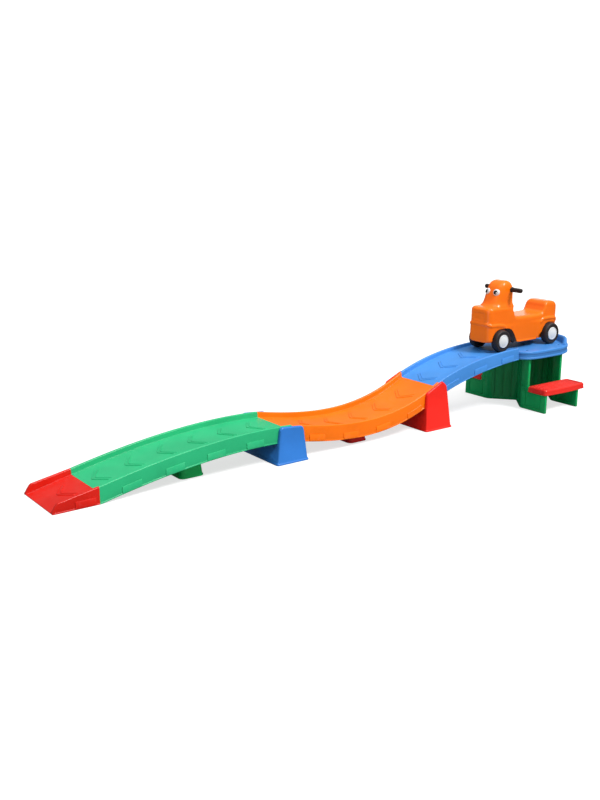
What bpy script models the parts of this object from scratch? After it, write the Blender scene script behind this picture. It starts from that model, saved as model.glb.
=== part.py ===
"""A toddler's ride-on roller coaster: a hilly channel track on supports, and its four-wheeled car.

Run with blender --background --python part.py, or from Blender's text editor.
Lengths are in metres and +Z is up. Places along the track are measured from the lip of the
ramp, and from_lip() turns them into the model's X, whose zero is halfway along the track.
"""
import math

import bmesh
import bpy
from mathutils import Vector

# Clearances
FIT = 0.0003            # between pieces that touch
SEAM_GAP = 0.0006       # between two track sections
SINK = 0.001            # how far an added feature starts inside its piece

# Track: joints between the sections, from the lip
RAMP_END = 0.209
LOW_HILL_END = 1.187
VALLEY_END = 2.126
HIGH_HILL_END = 2.730
PLATFORM_LENGTH = 0.470
TRACK_LENGTH = HIGH_HILL_END + PLATFORM_LENGTH

# Platform: its height, and the depth of its rim
PLATFORM_TOP = 0.330
RIM_DEPTH = 0.0435

# Track: heights of the wall tops at the joints, and their slopes there
RAMP_WALL_START = (0.0225, 0.0435)
RAMP_WALL_END_HEIGHT = 0.0767
LOW_HILL_SLOPES = (0.225, -0.0545)
LOW_HILL_END_HEIGHT = 0.1743
VALLEY_SLOPES = (-0.20, 0.55)
VALLEY_END_HEIGHT = 0.2445
HIGH_HILL_SLOPES = (0.40, 0.02)
HIGH_HILL_END_RISE = 0.020      # its wall tops stand this far above the platform
HIGH_HILL_END_HEIGHT = PLATFORM_TOP + HIGH_HILL_END_RISE
HIGH_HILL_LOWER_SLOPES = (0.37, 0.06)
HIGH_HILL_LOWER_END = PLATFORM_TOP - RIM_DEPTH - 2 * FIT  # its walls' lower edge at the platform

# Track: cross-section
TRACK_HALF_WIDTH = 0.150
WALL_HEIGHT = 0.078
DECK_DROP = 0.025       # deck below the wall tops
SHEET = 0.004           # thickness of the moulded sheet
WALL_WIDTH = 0.0155     # from the skirt's face to the foot of the inner wall
WALL_LEAN = 0.003       # how far the inner wall leans outwards
WALL_TOP_ROUND = 0.0045
LIP_THICKNESS = 0.004
STATION_STEP = 0.065    # distance between cross-sections along a curved section
RAMP_NOSE = (0.0, 0.002, 0.006, 0.011, 0.017)  # close cross-sections at the walls' rounded start

# Track: ribs, joint tabs, side pads and arrow ridges
RIB_SPACING = 0.165
RIB_THICKNESS = 0.004
RIB_LIFT = 0.010        # ribs stop above the wall's lower edge
TAB_WIDTH = 0.030
TAB_THICKNESS = 0.006
TAB_REACH = 0.012
TAB_OFFSET = 0.060
TAB_DROP = 0.020        # tab's middle below the deck
PAD_LENGTH = 0.092
PAD_HEIGHT = 0.034
PAD_PROUD = 0.0030
PAD_PITCH = 0.208
RAMP_PAD_START = 0.100
LOW_HILL_PAD_START = 0.312
VALLEY_PAD_START = 1.290
HIGH_HILL_PAD_START = 2.180
ARROW_SPAN = 0.060      # half the width of one arrow ridge
ARROW_SWEEP = 0.045
ARROW_STROKE = 0.010
ARROW_PROUD = 0.0020
RAMP_ARROWS = {"first": 0.084, "pitch": 0.158}
LOW_HILL_ARROWS = {"first": 0.244, "pitch": 0.158}
VALLEY_ARROWS = {"first": 1.320, "pitch": 0.164}
HIGH_HILL_ARROWS = {"first": 2.137, "pitch": 0.150}

# Platform: plan, walls and rear stop
PLATFORM_HALF_WIDTH = 0.200
PLATFORM_WIDEST = 2.978
PLATFORM_FRONT_REACH = 0.255
PLATFORM_FRONT_POWER = 4.2
PLATFORM_REAR_POWER = 2.4
PLATFORM_WALL = 0.005
PLATFORM_EDGE_ROUND = 0.005
STOP_START = TRACK_LENGTH - 0.105  # where the raised rear stop begins
STOP_HEIGHT = 0.034
STOP_SETBACK = 0.006
STOP_THICKNESS = 0.024
DECK_LEVEL_FROM = HIGH_HILL_END - 0.060  # the high hill's deck is level from here on
DECK_SLOPES = (0.38, 0.0)  # slopes of the high hill's deck at its start and where it levels

# Supports under the joints
TRESTLE_FOOT_HALF_WIDTH = 0.175
TRESTLE_TAPER = 0.055   # how much each cheek leans in, per metre of height
TRESTLE_WALL = 0.005
TRESTLE_LIP = 0.003
TRESTLE_LIP_HEIGHT = 0.007
TRESTLE_EDGE_ROUND = 0.006
LOW_TRESTLE = {"foot": (1.090, 1.264), "crown": ((1.114, 0.177), (1.245, 0.165)), "round": 0.018}
HIGH_TRESTLE = {"foot": (2.027, 2.204), "crown": ((2.034, 0.200), (2.146, 0.251), (2.172, 0.222)),
                "round": 0.014}

# Feet under the sections
FOOT_WALL = 0.004
FOOT_LEAN = 0.10
FOOT_CORNER = 0.022
LOW_HILL_FOOT = {"middle": 0.692, "length": 0.120, "half_width": 0.080}
VALLEY_FOOT = {"middle": 1.636, "length": 0.112, "half_width": 0.098}

# Support panels under the platform
PANEL_THICKNESS = 0.015
FRONT_PANEL_AT = 2.803
PANEL_SPACING = 0.265
REAR_PANEL_AT = FRONT_PANEL_AT + PANEL_SPACING
PANEL_FOLD_DEPTH = 0.111
PANEL_FOLD_HALF_WIDTH = 0.126
PANEL_HALF_WIDTH = 0.171
LEG_HALF_WIDTH = 0.298
PANEL_WALL = 0.003
PANEL_SOLID_TOP = 0.025
LEG_RECESS = 0.0012
LEG_RECESS_BORDER = 0.014

# Steps on the panels' outer legs
STEP_FRONT = 2.788
STEP_LENGTH = 0.335
STEP_REAR = STEP_FRONT + STEP_LENGTH
STEP_INNER = 0.1725
STEP_OUTER = 0.3085
STEP_BULGE = 0.004
STEP_CORNER = 0.012
STEP_BOTTOM = 0.097
STEP_TOP = 0.128
STEP_WALL = 0.004
STEP_DECK = 0.005
STEP_DRAFT = 0.0025
STEP_GROOVES = 6
STEP_GROOVE_WIDTH = 0.005
STEP_GROOVE_DEPTH = 0.001
STEP_GROOVE_MARGIN = 0.030

# Platform screws
SCREW_OFFSET = 0.1428
SCREW_HEAD_RADIUS = 0.005
SCREW_HEAD_HEIGHT = 0.0024
SCREW_SHANK_RADIUS = 0.0020
SCREW_LENGTH = 0.020
SCREW_RECESS = 0.0030
SCREW_SEGMENTS = 10

# Car: wheels and axles
WHEEL_RADIUS = 0.060
WHEEL_INNER = 0.0635
WHEEL_OUTER = 0.1035
WHEEL_EDGE_ROUND = 0.006
AXLE_RADIUS = 0.005
AXLE_HALF_LENGTH = 0.0990
HUB_RADIUS = 0.0365
HUB_RECESS = 0.004
HUB_DOME = 0.0055
NUT_POCKET_RADIUS = 0.013
NUT_POCKET_DEPTH = 0.010
NUT_RADIUS = 0.0095
NUT_HEIGHT = 0.0035
WASHER_RADIUS = 0.011
BOSS_RADIUS = 0.016      # the wheel's boss round its bore, on the inner face
DISH_RADIUS = 0.046      # the dished ring between the boss and the tyre
DISH_DEPTH = 0.018
WHEEL_SEGMENTS = 24
ROD_SEGMENTS = 12        # rods, bores, nuts and spacers, so that they mesh alike

# Car: body
BODY_FRONT = 2.562
BODY_LENGTH = 0.563
BODY_REAR = BODY_FRONT + BODY_LENGTH
FRONT_AXLE_AT = BODY_FRONT + 0.092
REAR_AXLE_AT = BODY_REAR - 0.067
BODY_BOTTOM = 0.366
BODY_HALF_WIDTH = 0.0755
FENDER_PROUD = 0.004
FENDER_TOP = 0.470
HOOD_TOP = 0.571
HOOD_END = 2.752
SEAT_START = 2.780
SEAT_TOP = 0.508
SEAT_END = BODY_REAR - 0.121
BOX_START = BODY_REAR - 0.091
BOX_TOP = 0.573
SEAT_MIDDLE = 2.890
CROWN = 0.014           # rounding of the body's upper edges
FRONT_CORNER = 0.026    # rounding of its front corners in plan
REAR_CORNER = (         # ahead of the rear end, drawn in, below the box's top, crown
    (0.050, 0.004, 0.004, 0.016), (0.028, 0.005, 0.009, 0.016), (0.018, 0.007, 0.016, 0.016),
    (0.009, 0.013, 0.034, 0.015), (0.003, 0.021, 0.056, 0.014), (0.0, 0.030, 0.074, 0.013))
BODY_WALL = 0.004
WELL_INNER = 0.060
WELL_CLEARANCE = 0.006
FRONT_WELL_REACH = (0.067, 0.141)  # ahead of the axle and behind it, along the body's lower edge
REAR_WELL_REACH = (0.100, 0.075)
BEAD_RADIUS = 0.0065
FRONT_BEAD_HEIGHTS = (0.484, 0.468)
REAR_BEAD_HEIGHT = 0.476

# Car: head block, handlebar and eyes
HEAD_HALF_WIDTH = 0.060
HEAD_REAR = 2.762
HEAD_FRONT = 2.632
HEAD_TOP = 0.711
HEAD_WALL = 0.008
HEAD_POWER = 3.0        # how square the head's front is in plan
HEAD_HEIGHT = HEAD_TOP - HOOD_TOP
HEAD_LEVELS = (         # share of the head's height, behind its front, half width
    (0.3857, 0.012, 0.060), (0.6, 0.020, 0.0595), (0.7786, 0.031, 0.0575), (0.8857, 0.042, 0.0530),
    (0.9571, 0.055, 0.0450), (1.0, 0.072, 0.0330))
HEAD_LEAN_FROM = 0.6357  # share of its height from which the head's rear leans forward
HEAD_LEAN = 0.38
BAR_AT = 2.744
BAR_HEIGHT = HOOD_TOP + 0.6536 * HEAD_HEIGHT
BAR_RADIUS = 0.006
BAR_HALF_LENGTH = 0.122
GRIP_RADIUS = 0.0108
GRIP_END = 0.129
EYE_HEIGHT = HOOD_TOP + 0.5643 * HEAD_HEIGHT
EYE_TURN = math.radians(20)
EYE_SEAT = (2.6584, 0.030)  # place along the track and distance from the middle
EYE_RADIUS = 0.0185
EYE_THICKNESS = 0.0120
EYE_FLAT_RADIUS = 0.0100    # flat top of the domed eye, which carries the pupil
EYE_TILT = 0.30
PUPIL_RADIUS = 0.0075
PUPIL_THICKNESS = 0.0014

COLOURS = {
    "red_plastic": ((0.78, 0.045, 0.022), 0.38, 0.0),
    "green_plastic": ((0.055, 0.58, 0.22), 0.38, 0.0),
    "orange_plastic": ((0.98, 0.24, 0.012), 0.38, 0.0),
    "blue_plastic": ((0.09, 0.33, 0.83), 0.38, 0.0),
    "dark_green_plastic": ((0.006, 0.17, 0.045), 0.45, 0.0),
    "trestle_blue_plastic": ((0.04, 0.22, 0.66), 0.40, 0.0),
    "black_plastic": ((0.018, 0.018, 0.020), 0.45, 0.0),
    "pale_plastic": ((0.74, 0.73, 0.76), 0.35, 0.0),
    "grip_plastic": ((0.022, 0.014, 0.014), 0.55, 0.0),
    "steel": ((0.60, 0.60, 0.62), 0.30, 1.0),
}


def from_lip(distance):
    """The model's X of a place given as its distance from the ramp's lip."""
    return distance - TRACK_LENGTH / 2


def clear_scene():
    for old in list(bpy.data.objects):
        bpy.data.objects.remove(old, do_unlink=True)


def finish_material(name):
    """The plain material of one finish, made once."""
    found = bpy.data.materials.get(name)
    if found:
        return found
    colour, roughness, metallic = COLOURS[name]
    made = bpy.data.materials.new(name)
    made.use_nodes = True
    shader = made.node_tree.nodes["Principled BSDF"]
    shader.inputs["Base Color"].default_value = (*colour, 1.0)
    shader.inputs["Roughness"].default_value = roughness
    shader.inputs["Metallic"].default_value = metallic
    return made


def make_object(name, form, finish=None, location=(0, 0, 0)):
    """Turn a bmesh into a named object; one without a finish is a cutter or a guide."""
    bmesh.ops.recalc_face_normals(form, faces=form.faces)
    mesh = bpy.data.meshes.new(name)
    form.to_mesh(mesh)
    form.free()
    mesh.shade_smooth()
    mesh.set_sharp_from_angle(angle=math.radians(35))
    made = bpy.data.objects.new(name, mesh)
    made.location = location
    bpy.context.collection.objects.link(made)
    if finish:
        mesh.materials.append(finish_material(finish))
    else:
        made.hide_render = True
        made.display_type = "WIRE"
    return made


def boolean(target, tool, operation="DIFFERENCE"):
    """Cut, join or trim a piece with a guide object, which stays hidden from renders."""
    step = target.modifiers.new(tool.name, "BOOLEAN")
    step.operation = operation
    step.solver = "EXACT"
    step.object = tool
    return target


def add_loft(form, rings, closed=False):
    """Skin a row of rings of points; a closed row joins its last ring to its first."""
    rows = [[form.verts.new(point) for point in ring] for ring in rings]
    pairs = list(zip(rows, rows[1:]))
    if closed:
        pairs.append((rows[-1], rows[0]))
    for first, second in pairs:
        for i in range(len(first)):
            j = (i + 1) % len(first)
            form.faces.new((first[i], first[j], second[j], second[i]))
    if not closed:
        form.faces.new(list(reversed(rows[0])))
        form.faces.new(rows[-1])


def add_prism(form, outline, low, high):
    """Extrude an outline of (x, y) points from one height to another."""
    add_loft(form, [[Vector((x, y, z)) for x, y in outline] for z in (low, high)])


def add_box(form, x_range, y_range, z_range):
    corners = [(x_range[0], y_range[0]), (x_range[1], y_range[0]),
               (x_range[1], y_range[1]), (x_range[0], y_range[1])]
    add_prism(form, corners, *z_range)


def add_turned(form, profile, segments, centre, closed):
    """Turn a profile of (radius, y) points about an axis parallel to Y through centre."""
    rings = []
    for radius, y in profile:
        ring = []
        for k in range(segments):
            angle = math.tau * k / segments
            ring.append(Vector((centre[0] + radius * math.cos(angle), centre[1] + y,
                                centre[2] + radius * math.sin(angle))))
        rings.append(ring)
    add_loft(form, rings, closed)


def arc(centre, radius, start, end, steps):
    """Points on a circle's arc, with the angles in degrees."""
    points = []
    for k in range(steps + 1):
        angle = math.radians(start + (end - start) * k / steps)
        points.append((centre[0] + radius * math.cos(angle), centre[1] + radius * math.sin(angle)))
    return points


def rounded(corners, radius, steps=3):
    """Round each corner of a convex outline."""
    points = []
    count = len(corners)
    for i in range(count):
        here = Vector(corners[i])
        before = (Vector(corners[i - 1]) - here).normalized()
        after = (Vector(corners[(i + 1) % count]) - here).normalized()
        half = before.angle(after) / 2
        if radius <= 0 or half > math.radians(88):
            points.append(tuple(here))
            continue
        start = here + before * radius / math.tan(half)
        end = here + after * radius / math.tan(half)
        middle = here + (before + after).normalized() * radius / math.sin(half)
        for k in range(steps + 1):
            blend = (start - middle).lerp(end - middle, k / steps).normalized()
            points.append(tuple(middle + blend * radius))
    return points


def hermite(x, start, end, slopes):
    """Height at x of the smooth curve between two points with the given end slopes."""
    span = end[0] - start[0]
    t = (x - start[0]) / span
    return (start[1] * (2 * t**3 - 3 * t**2 + 1) + span * slopes[0] * (t**3 - 2 * t**2 + t)
            + end[1] * (3 * t**2 - 2 * t**3) + span * slopes[1] * (t**3 - t**2))


def wall_top(x):
    """Height of the track's wall tops at a distance from the lip."""
    if x < RAMP_WALL_START[0]:
        rise = math.sin(math.pi / 2 * max(x, 0) / RAMP_WALL_START[0])
        foot = LIP_THICKNESS + 0.002
        return foot + (RAMP_WALL_START[1] - foot) * rise
    if x < RAMP_END:
        share = (x - RAMP_WALL_START[0]) / (RAMP_END - RAMP_WALL_START[0])
        return RAMP_WALL_START[1] + (RAMP_WALL_END_HEIGHT - RAMP_WALL_START[1]) * share
    if x < LOW_HILL_END:
        return hermite(x, (RAMP_END, RAMP_WALL_END_HEIGHT), (LOW_HILL_END, LOW_HILL_END_HEIGHT),
                       LOW_HILL_SLOPES)
    if x < VALLEY_END:
        return hermite(x, (LOW_HILL_END, LOW_HILL_END_HEIGHT), (VALLEY_END, VALLEY_END_HEIGHT),
                       VALLEY_SLOPES)
    return hermite(x, (VALLEY_END, VALLEY_END_HEIGHT), (HIGH_HILL_END, HIGH_HILL_END_HEIGHT),
                   HIGH_HILL_SLOPES)


def deck_top(x):
    """Height of the surface that the wheels roll on."""
    if x < RAMP_END:
        end = RAMP_WALL_END_HEIGHT - DECK_DROP
        return LIP_THICKNESS + (end - LIP_THICKNESS) * max(x, 0) / RAMP_END
    if x < VALLEY_END:
        return wall_top(x) - DECK_DROP
    if x < DECK_LEVEL_FROM:
        return hermite(x, (VALLEY_END, VALLEY_END_HEIGHT - DECK_DROP),
                       (DECK_LEVEL_FROM, PLATFORM_TOP), DECK_SLOPES)
    return PLATFORM_TOP


def wall_bottom(x):
    """Height of the lower edge of the track's walls."""
    if x < RAMP_END:
        return 0.0
    if x > VALLEY_END:
        return hermite(x, (VALLEY_END, VALLEY_END_HEIGHT - WALL_HEIGHT),
                       (HIGH_HILL_END, HIGH_HILL_LOWER_END), HIGH_HILL_LOWER_SLOPES)
    return max(wall_top(x) - WALL_HEIGHT, 0.0)


def channel_ring(x):
    """The track's cross-section at x: deck, inner walls, wall tops and outer skirts."""
    top, deck, bottom = wall_top(x), deck_top(x), wall_bottom(x)
    crown = min(WALL_TOP_ROUND, 0.4 * (top - deck))
    under = max(deck - SHEET, bottom + 0.0015)
    hollow_top = max(top - SHEET, bottom + 0.002)
    skirt = TRACK_HALF_WIDTH
    inner_foot = skirt - WALL_WIDTH - WALL_LEAN
    inner_head = skirt - WALL_WIDTH
    half = [
        (inner_foot - crown, deck),
        (inner_foot, deck + crown),
        (inner_head, top - crown),
        (inner_head + 0.35 * crown, top - 0.3 * crown),
        (inner_head + crown, top),
        (skirt - crown, top),
        (skirt - 0.3 * crown, top - 0.3 * crown),
        (skirt, top - crown),
        (skirt, bottom + 0.0015),
        (skirt - 0.0015, bottom),
        (skirt - SHEET, bottom),
        (skirt - SHEET, hollow_top),
        (inner_head + SHEET, hollow_top),
        (inner_foot + SHEET, under),
    ]
    other = [(-y, z) for y, z in reversed(half)]
    return [Vector((from_lip(x), y, z)) for y, z in half + other]


def stations(start, end):
    """Places of the cross-sections of one track section."""
    count = max(4, round((end - start) / STATION_STEP))
    return [start + (end - start) * k / count for k in range(count + 1)]


def section_cuts(start, end):
    """Places of one section's cross-sections, between its seams."""
    low = start + (SEAM_GAP / 2 if start > 0 else 0)
    high = end - SEAM_GAP / 2
    if start > 0:
        return stations(low, high)
    return list(RAMP_NOSE) + stations(RAMP_WALL_START[0], high)


def faceted(height, x_low, x_high):
    """Places from x_low to x_high and the heights there, along the straight facets of the track."""
    cuts = []
    for start, end in ((0.0, RAMP_END), (RAMP_END, LOW_HILL_END), (LOW_HILL_END, VALLEY_END),
                       (VALLEY_END, HIGH_HILL_END)):
        cuts += section_cuts(start, end)
    found = []
    for a, b in zip(cuts, cuts[1:]):
        for x in (x_low, x_high):
            if a <= x < b:
                found.append((x, height(a) + (height(b) - height(a)) * (x - a) / (b - a)))
        if x_low < b < x_high:
            found.append((b, height(b)))
    return found


def end_plate(x_low, x_high):
    """A plate that closes a section's end, up into both hollow walls."""
    middle = (x_low + x_high) / 2
    side = TRACK_HALF_WIDTH - SHEET / 2
    shoulder = TRACK_HALF_WIDTH - WALL_WIDTH + SHEET / 2
    low = wall_bottom(middle) + 0.0015
    deck = deck_top(middle) - SHEET / 2
    top = max(wall_top(middle) - SHEET / 2, deck + 0.0005)
    outline = [(-side, low), (side, low), (side, top), (shoulder, top), (shoulder, deck),
               (-shoulder, deck), (-shoulder, top), (-side, top)]
    return [[Vector((from_lip(x), y, z)) for y, z in outline] for x in (x_low, x_high)]


def add_rib(form, x):
    """A rib across the underside of the deck, between the skirts."""
    side = TRACK_HALF_WIDTH - SHEET / 2
    top = min(deck_top(x), deck_top(x + RIB_THICKNESS)) - SHEET / 2
    low = max(wall_bottom(x), wall_bottom(x + RIB_THICKNESS)) + RIB_LIFT
    if top - low > 2 * SHEET:
        add_box(form, (from_lip(x), from_lip(x + RIB_THICKNESS)), (-side, side), (low, top))


def add_tabs(form, seam, growth, start):
    """Two tabs across a seam; growth widens them into the slots that take them."""
    height = deck_top(seam) - TAB_DROP
    for side in (-1, 1):
        middle = side * TAB_OFFSET
        half_width = TAB_WIDTH / 2 + growth
        half_height = TAB_THICKNESS / 2 + growth
        add_box(form, (from_lip(start), from_lip(seam + TAB_REACH + growth)),
                (middle - half_width, middle + half_width),
                (height - half_height, height + half_height))


def add_pad(form, start):
    """The shallow raised pads on both skirts, along the lower edge."""
    for side in (-1, 1):
        rings = []
        for k in range(4):
            x = start + PAD_LENGTH * k / 3
            low = wall_bottom(x) + 0.0005
            high = low + PAD_HEIGHT
            inside = side * (TRACK_HALF_WIDTH - SHEET / 2)
            outside = side * (TRACK_HALF_WIDTH + PAD_PROUD)
            softened = side * (TRACK_HALF_WIDTH + 0.0002)
            rings.append([Vector((from_lip(x), inside, low)), Vector((from_lip(x), outside, low)),
                          Vector((from_lip(x), outside, high - 0.5 * PAD_PROUD)),
                          Vector((from_lip(x), softened, high)),
                          Vector((from_lip(x), inside, high))])
        add_loft(form, rings)


def add_arrow(form, point):
    """A raised arrow ridge on the deck that points down the track."""
    back = point + ARROW_SWEEP
    plan = [(point, 0.0), (back, ARROW_SPAN), (back + ARROW_STROKE, ARROW_SPAN),
            (point + ARROW_STROKE, 0.0), (back + ARROW_STROKE, -ARROW_SPAN), (back, -ARROW_SPAN)]
    levels = (-SHEET / 2, ARROW_PROUD)
    rows = [[form.verts.new((from_lip(x), y, deck_top(x) + level)) for x, y in plan]
            for level in levels]
    for row, order in ((rows[0], -1), (rows[1], 1)):
        for quad in ((0, 3, 2, 1), (0, 5, 4, 3)):
            form.faces.new([row[i] for i in quad][::order])
    for i in range(6):
        j = (i + 1) % 6
        form.faces.new((rows[0][i], rows[0][j], rows[1][j], rows[1][i]))


def places(first, pitch, length, end):
    """Starts of repeated features that fit before the end."""
    found = []
    while first + length < end:
        found.append(first)
        first += pitch
    return found


def track_section(name, finish, start, end, pad_start, arrows, sockets=()):
    """One moulded channel section, with its ribs, pads, arrows, and tabs or slots."""
    low = start + (SEAM_GAP / 2 if start > 0 else 0)
    high = end - SEAM_GAP / 2
    form = bmesh.new()
    add_loft(form, [channel_ring(x) for x in section_cuts(start, end)])
    section = make_object(name, form, finish)

    plates = bmesh.new()
    add_loft(plates, end_plate(high - SINK - SHEET, high - SINK))
    if start > 0:
        add_loft(plates, end_plate(low + SINK, low + SINK + SHEET))
    for x in places(start + RIB_SPACING, RIB_SPACING, RIB_SPACING / 2, end):
        if not any(a - RIB_THICKNESS < x < b + RIB_THICKNESS for a, b in sockets):
            add_rib(plates, x)
    for a, b in sockets:
        add_rib(plates, a - FIT - RIB_THICKNESS)
        add_rib(plates, b + FIT)
    boolean(section, make_object(name + "_ribs", plates), "UNION")

    tabs = bmesh.new()
    add_tabs(tabs, end, 0.0, high - SINK - SHEET - SINK)
    boolean(section, make_object(name + "_tabs", tabs), "UNION")

    trims = bmesh.new()
    for x in places(pad_start, PAD_PITCH, PAD_LENGTH, end):
        add_pad(trims, x)
    for x in places(arrows["first"], arrows["pitch"], ARROW_SWEEP + ARROW_STROKE,
                    min(end, DECK_LEVEL_FROM)):
        add_arrow(trims, x)
    boolean(section, make_object(name + "_trims", trims), "UNION")

    if start > 0:
        slots = bmesh.new()
        add_tabs(slots, start, FIT, start - SINK)
        boolean(section, make_object(name + "_slots", slots))
    return section


def platform_outline(inset, front):
    """The platform's plan outline, set in from its edge and cut off square in front."""
    half_width = PLATFORM_HALF_WIDTH - inset
    rear_reach = TRACK_LENGTH - PLATFORM_WIDEST - inset
    points = []
    for k in range(-14, 15):
        angle = math.radians(90 * k / 14)
        x = PLATFORM_WIDEST + rear_reach * abs(math.cos(angle))**(2 / PLATFORM_REAR_POWER)
        across = abs(math.sin(angle))**(2 / PLATFORM_REAR_POWER)
        points.append((x, math.copysign(half_width * across, angle)))
    front_reach = PLATFORM_FRONT_REACH - inset
    # the front quarter on each side, from the widest place to the square front
    quarter = []
    for k in range(1, 9):
        x = PLATFORM_WIDEST - (PLATFORM_WIDEST - front) * math.sin(math.radians(90 * k / 8))
        share = min((PLATFORM_WIDEST - x) / front_reach, 1.0)
        across = (1 - share**PLATFORM_FRONT_POWER)**(1 / PLATFORM_FRONT_POWER)
        quarter.append((x, half_width * across))
    points += quarter
    points += [(x, -y) for x, y in reversed(quarter)]
    return [(from_lip(x), y) for x, y in points]


def stop_outline(setback):
    """Half of the rear stop's edge line, set in from the platform's edge."""
    half_width = PLATFORM_HALF_WIDTH - setback
    reach = TRACK_LENGTH - PLATFORM_WIDEST - setback
    share = min((STOP_START - PLATFORM_WIDEST) / reach, 0.95)
    limit = math.acos(share**(PLATFORM_REAR_POWER / 2))
    points = []
    for k in range(-8, 9):
        angle = limit * k / 8
        x = PLATFORM_WIDEST + reach * math.cos(angle)**(2 / PLATFORM_REAR_POWER)
        across = abs(math.sin(angle))**(2 / PLATFORM_REAR_POWER)
        points.append((from_lip(x), math.copysign(half_width * across, angle)))
    return points


def build_platform():
    """The launch platform: a rimmed tray, open below, with a raised stop round its rear."""
    front = HIGH_HILL_END + SEAM_GAP / 2
    bottom = PLATFORM_TOP - RIM_DEPTH
    edge = PLATFORM_EDGE_ROUND
    form = bmesh.new()
    levels = [(bottom, 0.0), (PLATFORM_TOP - edge, 0.0), (PLATFORM_TOP - 0.3 * edge, 0.3 * edge),
              (PLATFORM_TOP, edge)]
    add_loft(form, [[Vector((x, y, z)) for x, y in platform_outline(inset, front)]
                    for z, inset in levels])
    platform = make_object("platform", form, "blue_plastic")

    hollow = bmesh.new()
    add_prism(hollow, platform_outline(PLATFORM_WALL, front + PLATFORM_WALL), bottom - SINK,
              PLATFORM_TOP - PLATFORM_WALL)
    boolean(platform, make_object("platform_hollow", hollow))

    stop = bmesh.new()
    outer, inner = stop_outline(STOP_SETBACK), stop_outline(STOP_SETBACK + STOP_THICKNESS)
    rings = []
    for k, (near, far) in enumerate(zip(outer, inner)):
        rise = STOP_HEIGHT * min(1.0, 0.25 + 3.0 * math.sin(math.pi * k / (len(outer) - 1)))
        middle = [a + (b - a) * 0.35 for a, b in zip(near, far)]
        crest = [a + (b - a) * 0.65 for a, b in zip(near, far)]
        rings.append([Vector((*near, PLATFORM_TOP - SINK)), Vector((*far, PLATFORM_TOP - SINK)),
                      Vector((*crest, PLATFORM_TOP + 0.92 * rise)),
                      Vector((*middle, PLATFORM_TOP + rise)),
                      Vector((*[a + (b - a) * 0.08 for a, b in zip(near, far)],
                              PLATFORM_TOP + 0.82 * rise))])
    add_loft(stop, rings)
    boolean(platform, make_object("platform_stop", stop), "UNION")

    openings = bmesh.new()
    add_tabs(openings, HIGH_HILL_END, FIT, front - SINK)
    boolean(platform, make_object("platform_slots", openings))
    holes = bmesh.new()
    for x, y in screw_places():
        narrow, wide = SCREW_SHANK_RADIUS + FIT, SCREW_HEAD_RADIUS + 2 * FIT
        hole = [(narrow, -2 * PLATFORM_WALL), (narrow, -SCREW_RECESS), (wide, -SCREW_RECESS), (wide, SINK)]
        add_upright(holes, hole, SCREW_SEGMENTS, (x, y, PLATFORM_TOP))
    boolean(platform, make_object("platform_screw_holes", holes))


def add_upright(form, profile, segments, centre):
    """Turn a profile of (radius, z) points about an upright axis."""
    rings = []
    for radius, z in profile:
        rings.append([Vector((centre[0] + radius * math.cos(math.tau * k / segments),
                              centre[1] + radius * math.sin(math.tau * k / segments),
                              centre[2] + z)) for k in range(segments)])
    add_loft(form, rings)


def screw_places():
    return [(from_lip(x), side * SCREW_OFFSET) for x in (FRONT_PANEL_AT, REAR_PANEL_AT)
            for side in (-1, 1)]


def build_platform_screws():
    head_low = -SCREW_RECESS + FIT
    profile = [(0.0006, head_low - SCREW_LENGTH), (SCREW_SHANK_RADIUS, head_low - SCREW_LENGTH + 0.002),
               (SCREW_SHANK_RADIUS, head_low), (SCREW_HEAD_RADIUS, head_low),
               (SCREW_HEAD_RADIUS, head_low + 0.5 * SCREW_HEAD_HEIGHT),
               (0.6 * SCREW_HEAD_RADIUS, head_low + SCREW_HEAD_HEIGHT)]
    for number, (x, y) in enumerate(screw_places(), 1):
        form = bmesh.new()
        add_upright(form, profile, SCREW_SEGMENTS, (0, 0, 0))
        make_object(f"platform_screw_{number}", form, "steel", (x, y, PLATFORM_TOP))


def tapered_slab(name, finish, outline, half_width, lean, edge_round):
    """A slab with the given (x, z) outline, whose two cheeks lean in with height."""
    form = bmesh.new()
    rings = [[Vector((from_lip(x), side * (half_width - lean * z), z)) for x, z in outline]
             for side in (-1, 1)]
    add_loft(form, rings)
    rim = [edge for edge in form.edges
           if len(edge.link_faces) == 2 and max(len(f.verts) for f in edge.link_faces) > 4
           and max(v.co.z for v in edge.verts) > TRESTLE_LIP_HEIGHT / 2]
    bmesh.ops.bevel(form, geom=rim, offset=edge_round, segments=2, profile=0.5, affect="EDGES")
    return make_object(name, form, finish)


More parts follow.
